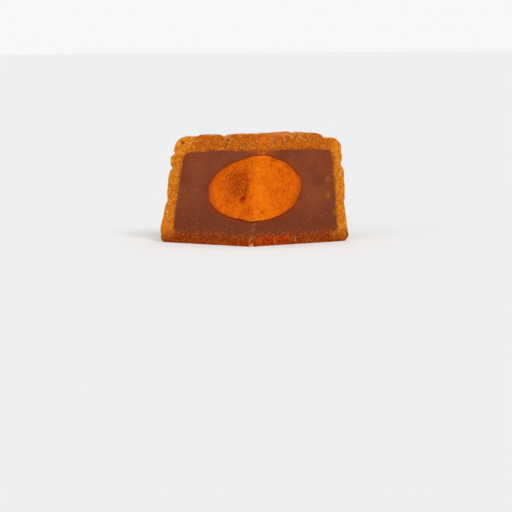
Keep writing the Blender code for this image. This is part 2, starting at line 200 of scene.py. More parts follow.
# Dents and swellings in the wall beside the cuts: side, height, depth and half-height
CUT_DENTS = (
    (LEFT_CUT, 27.3 * MM, -0.5 * MM, 1.6 * MM),
    (LEFT_CUT, 24.1 * MM, 0.9 * MM, 0.7 * MM),
    (LEFT_CUT, 14.0 * MM, 0.6 * MM, 1.3 * MM),
    (LEFT_CUT, 4.8 * MM, -1.0 * MM, 3.6 * MM),
    (RIGHT_CUT, 29.4 * MM, -0.5 * MM, 0.9 * MM),
    (RIGHT_CUT, 27.2 * MM, 0.45 * MM, 1.4 * MM),
    (RIGHT_CUT, 25.3 * MM, 0.9 * MM, 1.0 * MM),
    (RIGHT_CUT, 11.0 * MM, 0.5 * MM, 3.6 * MM),
    (RIGHT_CUT, 2.0 * MM, -0.4 * MM, 1.6 * MM),
)
DENT_REACH = math.radians(5.0)
CORNER_DISTANCE = 35.0 * MM


def flute_groove(azimuth, height):
    """0 on the crest of a lobe, 1 at the bottom of the groove between two lobes."""
    sway = FLUTE_SWAY * math.sin(height / FLUTE_SWAY_LENGTH * math.tau)
    spot = Vector((math.sin(azimuth), math.cos(azimuth), 0.0)) * WALL_RADIUS
    spot.z = height
    sway += relief(spot, GROOVE_SEED, (GROOVE_WAVER_SIZE, GROOVE_WAVER))
    turns = (azimuth + sway - FLUTE_PHASE) * FLUTES / math.tau
    across = 2.0 * (turns - math.floor(turns)) - 1.0
    return abs(across) ** FLUTE_ROUNDNESS


def flute_fade(height):
    return 1.0 - blend(LOBE_TOP_HEIGHT - FLUTE_END, WALL_TOP, height)


def wall_radius(azimuth, height):
    """Radius of the fluted wall, with its dents beside the cuts."""
    radius = WALL_RADIUS - WALL_TAPER * height / WALL_TOP
    radius -= FLUTE_DEPTH * flute_groove(azimuth, height) * flute_fade(height)
    radius -= CREASE_DEPTH * blend(LOBE_TOP_HEIGHT, WALL_TOP, height)
    for side, dent_height, depth, half_height in CUT_DENTS:
        corner = about_axis(place(CORNER_DISTANCE, dent_height, side))[1]
        beside = bell(azimuth, corner, DENT_REACH)
        radius -= depth * bell(height, dent_height, half_height) * beside
    return radius


print("wall:", FLUTES, "lobes, each", round(math.tau * WALL_RADIUS / FLUTES / MM, 1), "mm wide")

# %% [markdown]
# ## The pressed top
# The bottom of the mould is carved, and it presses a raised pattern into the top, inside a
# smooth rounded rim. The pattern here is a plain one: a flower of three broad lobes with a
# fine line inside its outline, and round it a ring of knobs and notched leaves by turns.
# Each form is a height that depends on the radius and azimuth only, so the pattern can be
# made as fine as the mesh allows. The flower comes first.

# %% Shape the flower
FLOOR_HEIGHT = 32.2 * MM
FLOWER_HEIGHT = 35.5 * MM
FLOWER_LOBES = 3
FLOWER_TURN = math.radians(-25.0)
FLOWER_RADIUS = 13.4 * MM
FLOWER_SWING = 3.4 * MM
FLOWER_LINE = 0.78
FLOWER_LINE_WIDTH = 0.5 * MM
FLOWER_LINE_DEPTH = 0.35 * MM
FLOWER_SOFTNESS = 1.8 * MM


def turn_in(azimuth, start, count):
    """-1 to 1 across one of count equal sectors, of which one has its middle at start."""
    turns = (azimuth - start) * count / math.tau
    return 2.0 * (turns - math.floor(turns + 0.5))


def flower_edge(azimuth):
    lobe = turn_in(azimuth, FLOWER_TURN, FLOWER_LOBES)
    return FLOWER_RADIUS + FLOWER_SWING * math.cos(lobe * math.pi)


def flower_height(radius, edge, floor):
    raised = blend(0.0, FLOWER_SOFTNESS, edge - radius)
    line = bell(radius, edge * FLOWER_LINE, FLOWER_LINE_WIDTH)
    return floor + (FLOWER_HEIGHT - floor) * raised - FLOWER_LINE_DEPTH * line


print("flower: relief of", round((FLOWER_HEIGHT - FLOOR_HEIGHT) / MM, 1), "mm")

# %% [markdown]
# ## Knobs and leaves
# A knob is round and comes out slightly dished. A leaf points outwards and has slanted
# notches across it, each with a slow side and a steep side, as a carver's gouge leaves them.
# Each helper says how far a place is raised, from 0 to 1, and how high the form is there, so
# that the ring can take whichever of the two is raised more.

# %% Shape a knob and a leaf
KNOB_HEIGHT = 35.1 * MM
KNOB_MIDDLE = 22.6 * MM
KNOB_RADIUS = 6.2 * MM
KNOB_DISH = 0.35 * MM
KNOB_SOFTNESS = 1.3 * MM
GAP_WIDTH = 0.6 * MM
RING_RADIUS = 29.6 * MM
LEAF_HEIGHT = 34.8 * MM
LEAF_HALF_WIDTH = 5.2 * MM
LEAF_BLUNTNESS = 0.3
LEAF_SOFTNESS = 1.4 * MM
LEAF_NOTCHES = 4
FIRST_NOTCH = 14.95 * MM
NOTCH_SPACING = 3.2 * MM
NOTCH_SLANT = 0.3
NOTCH_FALL = 0.5
NOTCH_RISE = 0.3
NOTCH_DEPTH = 1.7 * MM


def knob(radius, turn):
    """How far a place is raised by a knob, 0 to 1, and how high the knob is there."""
    off = math.hypot(radius * math.sin(turn), radius * math.cos(turn) - KNOB_MIDDLE)
    raised = blend(0.0, KNOB_SOFTNESS, KNOB_RADIUS - off)
    dish = KNOB_DISH * (1.0 - blend(0.0, KNOB_RADIUS - KNOB_SOFTNESS, off))
    return raised, KNOB_HEIGHT - dish


def notch(along):
    """Depth of the notches across a leaf, 0 to 1; each falls slowly and rises quickly."""
    part = (along - FIRST_NOTCH) / NOTCH_SPACING
    if not -NOTCH_FALL < part < LEAF_NOTCHES - 1.0 + NOTCH_RISE:
        return 0.0
    past = part - math.floor(part)
    return max(1.0 - past / NOTCH_RISE, 1.0 - (1.0 - past) / NOTCH_FALL, 0.0)


def leaf(radius, turn):
    """How far a place is raised by a notched leaf, and how high the leaf is there."""
    across = abs(radius * math.sin(turn))
    along = radius * math.cos(turn)
    inner = FLOWER_RADIUS - FLOWER_SWING + GAP_WIDTH
    part = (along - inner) / (RING_RADIUS - inner)
    if not 0.0 < part < 1.0:
        return 0.0, LEAF_HEIGHT
    width = LEAF_HALF_WIDTH * math.sin(part * math.pi) ** LEAF_BLUNTNESS
    raised = blend(0.0, LEAF_SOFTNESS, width - across)
    return raised, LEAF_HEIGHT - NOTCH_DEPTH * notch(along + NOTCH_SLANT * across)


print("leaf:", LEAF_NOTCHES, "notches, each", round(NOTCH_DEPTH / MM, 1), "mm deep")

# %% [markdown]
# ## The whole top
# The ring of knobs and leaves, the flower and the rim are put together by radius. The cake
# isn't quite even: beside the left cut the floor of the pattern came out shallow, and the
# top has risen a little in the oven, right of its middle.

# %% Height of any place on the top
RIM_HEIGHT = 34.3 * MM
RIM_CREST_RADIUS = 31.5 * MM
RIM_GROOVE_RADIUS = 30.2 * MM
RIM_GROOVE_HEIGHT = 33.6 * MM
FLOOR_RISE_WIDTH = 3.0 * MM
RING_PAIRS = 6
RING_TURN = math.radians(-43.0)
FILLED_HEIGHT = 34.1 * MM
FILLED_X = -14.0 * MM
FILLED_Y = 0.0 * MM
FILLED_INNER = 6.0 * MM
FILLED_OUTER = 13.0 * MM
BULGE_RISE = 1.3 * MM
BULGE_X = 14.0 * MM
BULGE_Y = -2.0 * MM
BULGE_REACH = 13.0 * MM
BULGE_FADE_START = 27.0 * MM
TOP_SLOPE = 0.011


def filled_up(radius, azimuth):
    """1 where the pattern's floor came out shallow, beside the left cut, else 0."""
    across = radius * math.sin(azimuth) + AXIS_X - FILLED_X
    along = radius * math.cos(azimuth) + AXIS_Y - FILLED_Y
    return 1.0 - blend(FILLED_INNER, FILLED_OUTER, math.hypot(across, along))


def pattern_height(radius, azimuth):
    """Height of the pressed pattern and of the rim's inner slope."""
    filled = filled_up(radius, azimuth)
    groove = RIM_GROOVE_HEIGHT + (FILLED_HEIGHT - RIM_GROOVE_HEIGHT) * filled
    if radius > RING_RADIUS:
        rise = blend(RIM_GROOVE_RADIUS, RIM_CREST_RADIUS, radius)
        return groove + (RIM_HEIGHT - groove) * rise
    floor = FLOOR_HEIGHT + (FILLED_HEIGHT - FLOOR_HEIGHT) * filled
    edge = flower_edge(azimuth)
    if radius < edge:
        return flower_height(radius, edge, floor)
    rise = blend(RING_RADIUS - FLOOR_RISE_WIDTH, RING_RADIUS, radius)
    floor += (groove - floor) * rise
    half_sector = math.pi / RING_PAIRS
    turn = abs(turn_in(azimuth, RING_TURN, RING_PAIRS)) * half_sector
    raised, top = max(knob(radius, turn), leaf(radius, half_sector - turn))
    return floor + (top - floor) * raised


def top_bulge(point):
    """The top has risen a little in the oven, right of its middle, but not its rim."""
    off = math.hypot(point.x - BULGE_X, point.y - BULGE_Y)
    inside = 1.0 - blend(BULGE_FADE_START, RIM_CREST_RADIUS, about_axis(point)[0])
    return BULGE_RISE * bell(off, 0.0, BULGE_REACH) * inside


def on_top(distance, heading):
    """The distance and height of a point of the top, which slopes a little to the right."""
    height = RIM_HEIGHT
    for _ in range(3):
        point = place(distance, height, heading)
        height = pattern_height(*about_axis(point)) + top_bulge(point)
        height -= TOP_SLOPE * (point.x - AXIS_X)
    return distance, height


print("middle of the top:", round(pattern_height(0.0, 0.0) / MM, 1), "mm above the base")

# %% [markdown]
# ## One section of the crust
# Each heading gives one upright section. Its outline starts at the tip on the base, runs out
# along the base, up the wall, over the rim and back over the top to the tip. Beside a knife
# cut the crust has chipped: `chip` says how much is missing there. It fades within two
# millimetres, so only the edges of the cut faces are ragged.

# %% Base and wall of a section
BASE_STEPS = 84
CORNER_STEPS = 7
WALL_STEPS = 92
QUARTER_TURN = math.radians(90.0)
CHIP_REACH = 0.7 * MM
CHIP_END = 2.1 * MM
CHIP_DEPTH = 0.35 * MM
CHIP_COARSE = (11.0, (2.6 * MM, 1.0))
CHIP_FINE = (5.0, (1.04 * MM, 0.5))
EDGE_ROUNDING = 0.14 * MM
EDGE_ROUNDING_REACH = 0.25 * MM

# Seed of the skin's lumps, then the size and depth of each layer
SKIN_LUMPS = (7.0, (4.5 * MM, 0.16 * MM), (1.6 * MM, 0.05 * MM), (0.6 * MM, 0.022 * MM))


def chip(distance, height, heading):
    """How far the skin has crumbled away beside the nearer knife cut."""
    turn = min(heading - LEFT_CUT, RIGHT_CUT - heading)
    aside = turn * distance
    if aside > CHIP_END:
        return 0.0
    point = place(distance, height, heading)
    ragged = max(0.0, relief(point, *CHIP_COARSE) + relief(point, *CHIP_FINE))
    crumbled = CHIP_DEPTH * ragged * bell(aside, 0.0, CHIP_REACH)
    return crumbled + EDGE_ROUNDING * bell(aside, 0.0, EDGE_ROUNDING_REACH)


def round_corner(steps):
    """Sine and cosine at each step inside a rounded corner."""
    angles = [QUARTER_TURN * step / steps for step in range(1, steps)]
    return [(math.sin(angle), math.cos(angle)) for angle in angles]


def base_points(foot):
    """Along the flat base and round its edge, which lies at the distance of the foot."""
    flat = foot - BASE_EDGE_RADIUS
    points = [(flat * part, 0.0) for part in even_steps(BASE_STEPS)]
    for out, up in round_corner(CORNER_STEPS):
        points.append((flat + BASE_EDGE_RADIUS * out, BASE_EDGE_RADIUS * (1.0 - up)))
    return points


def wall_points(heading):
    points = []
    for part in even_steps(WALL_STEPS):
        height = BASE_EDGE_RADIUS + (WALL_TOP - BASE_EDGE_RADIUS) * part
        distance = reach(lambda a: wall_radius(a, height), height, heading)
        swelling = relief(place(distance, height, heading), *SKIN_LUMPS)
        points.append((distance + swelling - chip(distance, height, heading), height))
    return points


print("wall of a section:", len(wall_points(LEFT_CUT)), "stations")

# %% [markdown]
# ## Over the rim and the top
# The rim is a quarter of a squarish ellipse. On the top, the stations of every section lie at
# the same places of the pattern, such as the flower's edge, rather than at equal distances.
# So the rows of the mesh follow the edges of the relief, and these stay crisp.

# %% Rim and top of a section
RIM_STEPS = 22
RIM_INSIDE_STEPS = 7
RING_STEPS = 62
GAP_STEPS = 4
FLOWER_STEPS = 60
RIM_OUTER_RADIUS = 36.35 * MM
RIM_ASIDE = 0.25 * MM
RIM_SQUARENESS = 0.8


def rim_radius(azimuth):
    """The rim lies a little to the left of the cake's middle."""
    return RIM_OUTER_RADIUS - RIM_ASIDE * math.sin(azimuth)


def rim_points(heading):
    """The rounded rim, a quarter of a squarish ellipse from the crease to its crest."""
    crest = reach(lambda a: RIM_CREST_RADIUS, RIM_HEIGHT, heading)
    brim = reach(rim_radius, WALL_TOP, heading)
    top = on_top(crest, heading)[1]
    points = []
    for step in range(RIM_STEPS):
        angle = QUARTER_TURN * (step + 0.5) / RIM_STEPS
        out = crest + (brim - crest) * math.cos(angle) ** RIM_SQUARENESS
        up = WALL_TOP + (top - WALL_TOP) * math.sin(angle) ** RIM_SQUARENESS
        swelling = relief(place(out, up, heading), *SKIN_LUMPS) - chip(out, up, heading)
        points.append((out + swelling * math.cos(angle), up + swelling * math.sin(angle)))
    return points


def ring_radius(azimuth, part):
    """Radius across the ring of knobs and leaves, from its inner edge to its outer one."""
    inner = flower_edge(azimuth) + GAP_WIDTH
    return inner + (RING_RADIUS - inner) * part


def top_radii():
    """Radius rules for the stations of the top, from the rim's crest to the flower's edge."""
    rules = []
    for part in steps_down(RIM_INSIDE_STEPS):
        radius = RING_RADIUS + (RIM_CREST_RADIUS - RING_RADIUS) * part
        rules.append(lambda a, radius=radius: radius)
    for part in steps_down(RING_STEPS)[1:]:
        rules.append(lambda a, part=part: ring_radius(a, part))
    for part in steps_down(GAP_STEPS)[1:]:
        rules.append(lambda a, part=part: flower_edge(a) + GAP_WIDTH * part)
    return rules


def top_points(heading):
    distances = [reach(rule, RIM_HEIGHT, heading) for rule in top_radii()]
    edge = distances[-1]
    distances += [edge * part for part in steps_down(FLOWER_STEPS)[1:]]
    points = []
    for distance in distances:
        out, up = on_top(distance, heading)
        swelling = relief(place(out, up, heading), *SKIN_LUMPS) - chip(out, up, heading)
        points.append((out, up + swelling))
    return points


def crust_outline(heading):
    foot = reach(lambda a: wall_radius(a, BASE_EDGE_RADIUS), BASE_EDGE_RADIUS, heading)
    points = base_points(foot)
    points += wall_points(heading)
    points += rim_points(heading)
    points += top_points(heading)
    return points


STATIONS = len(crust_outline(LEFT_CUT))
print("crust section:", STATIONS, "stations")

# %% [markdown]
# ## Where the crust meets the paste
# The paste fills the crust, and in the oven the two grow together. So both meshes follow one
# and the same line, slightly wavy, and each reaches a little under the face of the other.
# Where their faces cross, no gap and no straight seam can show.

# %% Outline of the filling
PASTE_RADIUS = 32.4 * MM
PASTE_ASIDE = 0.3 * MM
PASTE_BOTTOM = 3.2 * MM
PASTE_TOP = 30.2 * MM
PASTE_EDGE_RADIUS = 2.2 * MM
SHOULDER_DROP = 0.7 * MM
SHOULDER_START = 18.0 * MM
SHOULDER_END = 27.0 * MM
PASTE_SLOPE = 0.015
FILLING_CORNER_STEPS = 7

# Seed of the seam's waves, then the size and depth of each layer
SEAM_LUMPS = (19.0, (3.4 * MM, 0.32 * MM), (1.1 * MM, 0.14 * MM))


def paste_radius(azimuth, grow):
    """The filling lies a little to the right of the cake's middle."""
    return PASTE_RADIUS + PASTE_ASIDE * math.sin(azimuth) + grow


def settle(point, distance):
    """The paste's top slopes a little to the left, and it has sunk beside the wall."""
    sunk = SHOULDER_DROP * blend(SHOULDER_START, SHOULDER_END, distance)
    return (PASTE_SLOPE * (point.x - AXIS_X) - sunk) * blend(PASTE_BOTTOM, PASTE_TOP, point.z)


def filling_outline(heading, grow, parts):
    """Outline of the filling in one section, at three sets of parts: bottom, wall and top."""
    bottom_parts, wall_parts, top_parts = parts
    low = PASTE_BOTTOM - grow
    high = PASTE_TOP + grow
    corner = PASTE_EDGE_RADIUS + grow
    foot = reach(lambda a: paste_radius(a, grow), low, heading) - corner
    head = reach(lambda a: paste_radius(a, grow), high, heading) - corner
    flow = [(foot * part, low, 0.0, -1.0) for part in bottom_parts]
    for out, up in round_corner(FILLING_CORNER_STEPS):
        flow.append((foot + corner * out, low + corner * (1.0 - up), out, -up))
    for part in wall_parts:
        height = low + corner + (high - low - 2.0 * corner) * part
        flow.append((reach(lambda a: paste_radius(a, grow), height, heading), height, 1.0, 0.0))
    for out, up in reversed(round_corner(FILLING_CORNER_STEPS)):
        flow.append((head + corner * out, high - corner * (1.0 - up), out, up))
    flow += [(head * part, high, 0.0, 1.0) for part in top_parts]
    points = []
    for distance, height, out, up in flow:
        point = place(distance, height, heading)
        shift = relief(point, *SEAM_LUMPS)
        height += settle(point, distance)
        points.append((max(0.0, distance + shift * out), height + shift * up))
    return points


print("filling:", round((PASTE_TOP - PASTE_BOTTOM) / MM, 1), "mm high inside the crust")

# %% [markdown]
# ## Building a mesh from rows
# Every part is built the same way. Each heading gives one row of vertices, and quads between
# neighbouring rows make the skin. Number layers on the vertices keep what a finish needs to
# know, such as how far a point is from the seam. They end up as named attributes of the mesh.

# %% Rows, skins and marks


def heading_fan(step, edge_turns):
    """Headings across the wedge, with a few closely spaced ones beside each cut."""
    turns = [math.radians(turn) for turn in edge_turns]
    start = LEFT_CUT + turns[-1]
    span = RIGHT_CUT - LEFT_CUT - 2.0 * turns[-1]
    count = round(span / math.radians(step))
    middle = [start + span * i / count for i in range(count + 1)]
    left = [LEFT_CUT + turn for turn in turns[:-1]]
    right = [RIGHT_CUT - turn for turn in reversed(turns[:-1])]
    return left + middle + right


def add_rows(mesh, outline_at, headings):
    rows = []
    for heading in headings:
        rows.append([mesh.verts.new(place(*p, heading)) for p in outline_at(heading)])
    return rows


def add_skin(mesh, rows):
    for first, second in zip(rows, rows[1:]):
        for i in range(len(first) - 1):
            mesh.faces.new((first[i], first[i + 1], second[i + 1], second[i]))


def start_mesh(*marks):
    """An empty mesh whose vertices can carry the named marks."""
    mesh = bmesh.new()
    for name in marks:
        mesh.verts.layers.float.new(name)
    return mesh


def mark(mesh, vertex, **values):
    """Writes named numbers on a vertex."""
    for name, value in values.items():
        vertex[mesh.verts.layers.float[name]] = value


print("a fan of 5 degree steps has", len(heading_fan(5.0, (0.0, 1.0))), "headings")

# %% [markdown]
# ## Closing the knife cuts
# A cut face is closed by rings that run from the outer row to the inner one, and each of its
# vertices is then moved by a carve function of its own part. Faces that meet at the tip share
# their vertices after the last join. A finished piece hangs under the root body, and the solid
# it stands for is hidden.

# %% Cut faces and finished pieces
JOIN_DISTANCE = 0.002 * MM
SHARP_EDGE = math.radians(62.0)


def inward_normal(side):
    """Direction square to a knife cut that points into the wedge."""
    along = Vector((math.sin(side), math.cos(side), 0.0))
    up = Vector((TIP_LEAN_X, TIP_LEAN_Y, 1.0))
    normal = along.cross(up).normalized()
    return normal if normal.y > 0.0 else -normal


def add_cut_face(mesh, outer, inner, rings, side, carve):
    """Closes one knife cut. carve gives a vertex its depth and its marks."""
    inward = inward_normal(side)
    fronts = [vertex.co.copy() for vertex in outer]
    backs = [vertex.co.copy() for vertex in inner]
    rows = []
    for ring in range(rings + 1):
        row = []
        for station, (front, back) in enumerate(zip(fronts, backs)):
            point = front.lerp(back, ring / rings)
            length = (back - front).length
            if ring == 0:
                vertex = outer[station]
            elif ring == rings:
                vertex = inner[station]
            else:
                vertex = mesh.verts.new(point)
            out = (point - place(0.0, point.z, side)).length
            from_outer = length * ring / rings
            carve(mesh, vertex, point, out, from_outer, length - from_outer, inward, side)
            row.append(vertex)
        rows.append(row)
    add_skin(mesh, rows)


def close_cuts(mesh, outer, inner, rings, carve):
    """Closes both knife cuts, between the first rows and between the last ones."""
    for end, side in ((0, LEFT_CUT), (-1, RIGHT_CUT)):
        add_cut_face(mesh, outer[end], inner[end], rings, side, carve)


def finish_piece(mesh, name, node):
    """Joins the rows at the tip, makes the piece, hangs it under the root body and hides its solid.
    """
    bmesh.ops.remove_doubles(mesh, verts=mesh.verts, dist=JOIN_DISTANCE)
    bmesh.ops.recalc_face_normals(mesh, faces=mesh.faces)
    data = bpy.data.meshes.new(name)
    mesh.to_mesh(data)
    mesh.free()
    data.shade_smooth()
    data.set_sharp_from_angle(angle=SHARP_EDGE)
    piece = bpy.data.objects.new(name, data)
    bpy.context.scene.collection.objects.link(piece)
    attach(piece, "root")
    if node:
        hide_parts(node)
    print(name, "has", len(data.polygons), "faces")
    return piece


print("left cut faces into", tuple(round(v, 2) for v in inward_normal(LEFT_CUT)))

# %% [markdown]
# ## The tip edge
# The edge where the cuts meet is worn a little: crumbs of crust have fallen off it, and the
# yolk has given way under the knife. Both cut faces have to agree on it, so the wear depends
# on the height only, and fades with the distance from the tip.

# %% Wear of the tip
TIP_WEAR = 0.35 * MM
TIP_WEAR_SIZE = 1.3 * MM
TIP_WEAR_REACH = 1.2 * MM
TIP_SEED = 23.0


def tip_wear(point, out):
    ragged = 0.5 + relief(Vector((0.0, 0.0, point.z)), TIP_SEED, (TIP_WEAR_SIZE, 0.5))
    return Vector((0.0, TIP_WEAR * ragged * bell(out, 0.0, TIP_WEAR_REACH), 0.0))


print("tip worn by up to", round(TIP_WEAR / MM, 2), "mm")

# %% [markdown]
# ## Lines and spots on a cut face
# Cracks, light edges, holes and smears are single events at known places, so noise can't make
# them. Each is a row of a table that says on which cut it lies, where, how wide it is and how
# strong. `lines_felt` and `spots_felt` tell how strongly a place feels each row of a table. A
# sum of them lets neighbours add up, and the largest of them lets one of them win.

# %% Feel the lines and spots
NO_EFFECT = 0.0


def off_line(out, height, start, end):
    """Distance from a straight line in mm, and how far along it the nearest point is."""
    x, y = out / MM - start[0], height / MM - start[1]
    u, v = end[0] - start[0], end[1] - start[1]
    part = min(1.0, max(0.0, (x * u + y * v) / (u * u + v * v)))
    return math.hypot(x - part * u, y - part * v), part


def lines_felt(lines, out, height, side, fade=0.0):
    """Strength of each line at a place; with a fade, a line grows weaker along its length."""
    felt = [NO_EFFECT]
    for cut, start, end, half_width, strength in lines:
        if cut == side:
            off, part = off_line(out, height, start, end)
            felt.append(strength * bell(off, 0.0, half_width) * (1.0 - fade * part))
    return felt


def spots_felt(spots, out, height, side):
    """Strength of each round spot at a place."""
    felt = [NO_EFFECT]
    for cut, (middle, level), half_width, strength in spots:
        if cut == side:
            off = math.hypot(out / MM - middle, height / MM - level)
            felt.append(strength * bell(off, 0.0, half_width))
    return felt


print("one millimetre beside a line:", off_line(0.0, MM, (0.0, 0.0), (5.0, 0.0))[0], "mm off")

# %% [markdown]
# ## Cracks and holes of the crust
# Where the knife met the pressed pattern, the dough has cracked below the notches, and a
# highlight is painted along the lip of each crack. A few large crumbs have fallen out and left
# holes, and cracks and holes are painted darker, as shade. At the foot of the right cut the
# crust has clotted to a rough, reddish patch.

# %% Cracks, lips, holes and the rough foot
CRACK_FADE = 0.4
CRACK_WAVER = 0.25 * MM
CRACK_WAVES = 1.6
CRACK_SEED = 1.0

# Cracks: cut, distance and height of both ends, half-width and depth, all in mm
CRACKS = (
    (LEFT_CUT, (13.7, 34.6), (14.8, 30.8), 0.26, 0.9),
    (RIGHT_CUT, (2.6, 35.2), (4.3, 33.2), 0.3, 0.7),
    (RIGHT_CUT, (7.1, 35.8), (8.9, 33.9), 0.26, 0.6),
    (RIGHT_CUT, (10.3, 35.8), (12.0, 33.9), 0.26, 0.6),
    (RIGHT_CUT, (13.6, 35.8), (15.3, 34.1), 0.26, 0.6),
    (RIGHT_CUT, (16.9, 35.7), (18.5, 34.2), 0.26, 0.6),
    (RIGHT_CUT, (31.3, 13.3), (33.6, 13.7), 0.13, 0.4),
    (RIGHT_CUT, (27.2, 27.4), (28.1, 27.0), 0.14, 0.4),
)

# Painted highlights on the lips of cracks and notches: cut, distance and height of both ends,
# half-width, strength
LIP_HIGHLIGHTS = (
    (LEFT_CUT, (12.9, 34.4), (14.1, 31.0), 0.34, 1.0),
    (LEFT_CUT, (15.2, 30.8), (17.4, 30.3), 0.22, 1.0),
    (RIGHT_CUT, (1.7, 35.1), (4.0, 32.4), 0.3, 1.0),
    (RIGHT_CUT, (6.3, 35.6), (8.4, 33.3), 0.26, 1.0),
    (RIGHT_CUT, (9.5, 35.6), (11.5, 33.4), 0.26, 1.0),
    (RIGHT_CUT, (12.8, 35.6), (14.9, 33.5), 0.26, 1.0),
    (RIGHT_CUT, (16.1, 35.5), (18.0, 33.6), 0.26, 1.0),
    (RIGHT_CUT, (16.6, 2.3), (17.0, 0.9), 0.24, 1.0),
)

# Holes left by lost crumbs: cut, distance and height, half-width and depth
HOLES = (
    (LEFT_CUT, (32.2, 32.3), 0.5, 1.0),
    (RIGHT_CUT, (6.4, 1.3), 0.35, 0.7),
    (RIGHT_CUT, (8.0, 2.7), 0.4, 0.6),
    (RIGHT_CUT, (8.0, 0.8), 0.4, 0.6),
)

# The rough foot of the right cut: distance and height of its middle, and its half-sizes
ROUGH_FOOT = (9.0 * MM, 2.2 * MM)
ROUGH_FOOT_REACH = (8.0 * MM, 2.6 * MM)


def faults(out, height, side):
    """Depth of the cracks and holes at a place of a cut face."""
    wave = noise.noise(Vector((out / MM, height / MM, CRACK_SEED)) * CRACK_WAVES)
    cracks = lines_felt(CRACKS, out + CRACK_WAVER * wave, height, side, CRACK_FADE)
    return (sum(cracks) + sum(spots_felt(HOLES, out, height, side))) * MM


def rough_foot(out, height, side):
    """1 on the rough, reddish foot of the right cut face, else 0."""
    beside = bell(out, ROUGH_FOOT[0], ROUGH_FOOT_REACH[0])
    near = beside * bell(height, ROUGH_FOOT[1], ROUGH_FOOT_REACH[1])
    return near if side == RIGHT_CUT else NO_EFFECT


print("crust face:", len(CRACKS), "cracks and", len(HOLES), "holes")

# %% [markdown]
# ## The crust's cut face
# Baked crust is short and crumbly. The knife tears it rather than slicing it, so its cut
# face is covered in crumbs about a millimetre across, with pits between them. A bump in the
# material alone would look flat from the side, so the crumbs are real relief: three sizes of
# noise, and pits where a fourth is at its highest.

# %% Carve the crust's cut face
CRUMBS = (31.0, (1.7 * MM, 0.27 * MM), (0.75 * MM, 0.2 * MM), (0.4 * MM, 0.12 * MM))
PIT_SIZE = 1.25 * MM
PIT_SEED = 41.0
PIT_START = 0.36
PIT_DEPTH = 1.5 * MM
CRUMBS_FROM_TIP = 2.0 * MM
CRUMBS_FROM_SEAM = 1.2 * MM
SKIN_EDGE = 0.5 * MM
SEAM_REACH = 0.5 * MM
SEAM_SINK = 0.2 * MM
UNDERLAP = 0.3 * MM


def carve_crust(mesh, vertex, point, out, from_skin, from_seam, inward, side):
    height = point.z
    pit = max(0.0, lumps(point, PIT_SIZE, PIT_SEED) - PIT_START) * PIT_DEPTH
    hill = relief(point, *CRUMBS) + pit
    open_face = blend(0.0, CRUMBS_FROM_TIP, out) * blend(0.0, CRUMBS_FROM_SEAM, from_seam)
    sink = SEAM_SINK * (1.0 - blend(0.0, SEAM_REACH, from_seam)) * blend(0.0, MM, out)
    fault = faults(out, height, side)
    depth = hill * open_face + fault + sink
    depth *= blend(0.0, SKIN_EDGE, from_skin) if from_skin > 0.0 else 0.0
    vertex.co = point + inward * depth + tip_wear(point, out)
    lip = max(lines_felt(LIP_HIGHLIGHTS, out, height, side))
    mark(mesh, vertex, cut=1.0, from_seam=from_seam / MM, from_tip=out / MM)
    mark(mesh, vertex, fault=fault / MM, hill=hill / MM)
    mark(mesh, vertex, lip=lip, rough_foot=rough_foot(out, height, side))


print("crumbs stand up to", round(sum(layer[1] for layer in CRUMBS[1:]) / MM, 2), "mm high")

# %% [markdown]
# ## Make the crust
# The outer skin has close headings, because its flutes and pattern show. The inner skin lies
# against the paste where nobody sees it, so it takes only every eighth heading. Each vertex
# of the skin is marked with how deep in a groove it lies, for the shade painted into the
# grooves and onto the pattern's slopes, for the pattern's floor and for the glaze, and with
# distances far beyond any real one, because it has no part in the marks of a cut face.

# %% Build the crust
CRUST_MARKS = ("cut", "groove", "pattern", "from_seam", "from_tip")
CRUST_MARKS += ("fault", "hill", "lip", "rough_foot")
CRUST_FAN = heading_fan(0.62, (0.0, 0.25, 0.55, 1.0))
CRUST_RINGS = 17
INSIDE_STEP = 8
FAR_AWAY = 9.0
TOP_START = WALL_TOP + 1.0 * MM
PATTERN_START = WALL_TOP + 2.0 * MM
CREASE_HALF_WIDTH = 0.5 * MM
GAP_MIDDLE = 0.8 * MM
GAP_HALF_WIDTH = 1.4 * MM
GAP_PALENESS = 0.5


def thin_out(headings, step):
    """Every step-th heading, and always the last one."""
    kept = headings[::step]
    if kept[-1] != headings[-1]:
        kept.append(headings[-1])
    return kept


def crust_inside(heading):
    """Inner outline of the crust, with one point for each point of its outside."""
    outside = crust_outline(heading)
    first_top = BASE_STEPS + CORNER_STEPS + WALL_STEPS + 1
    top_start = outside[first_top][0]
    top = [point[0] / top_start for point in outside[first_top:]]
    corners = 2 * (FILLING_CORNER_STEPS - 1)
    wall_count = STATIONS - len(top) - (BASE_STEPS + 1) - corners
    parts = (even_steps(BASE_STEPS), even_steps(wall_count - 1), top)
    return filling_outline(heading, -UNDERLAP, parts)


# The depth in a groove steers painted shade: in the flutes, in the crease under the rim and on the
# pattern's slopes.
def skin_groove(point):
    """How deep a place of the skin lies in a groove, from 0 to 1."""
    radius, azimuth = about_axis(point)
    if point.z > TOP_START:
        height = point.z + TOP_SLOPE * (point.x - AXIS_X) - top_bulge(point)
        deep = min(1.0, max(0.0, (LEAF_HEIGHT - height) / (LEAF_HEIGHT - FLOOR_HEIGHT)))
        gap = flower_edge(azimuth) + GAP_MIDDLE
        deep *= 1.0 - GAP_PALENESS * bell(radius, gap, GAP_HALF_WIDTH)
        return deep * (1.0 - blend(RING_RADIUS, RIM_GROOVE_RADIUS, radius))
    crease = bell(point.z, WALL_TOP, CREASE_HALF_WIDTH)
    return max(flute_groove(azimuth, point.z) ** 2 * flute_fade(point.z), crease)


def in_pattern(point):
    """1 on the pressed pattern, 0 on the rim and on the wall."""
    inside = 1.0 - blend(RING_RADIUS, RIM_CREST_RADIUS, about_axis(point)[0])
    return inside * blend(WALL_TOP, PATTERN_START, point.z)


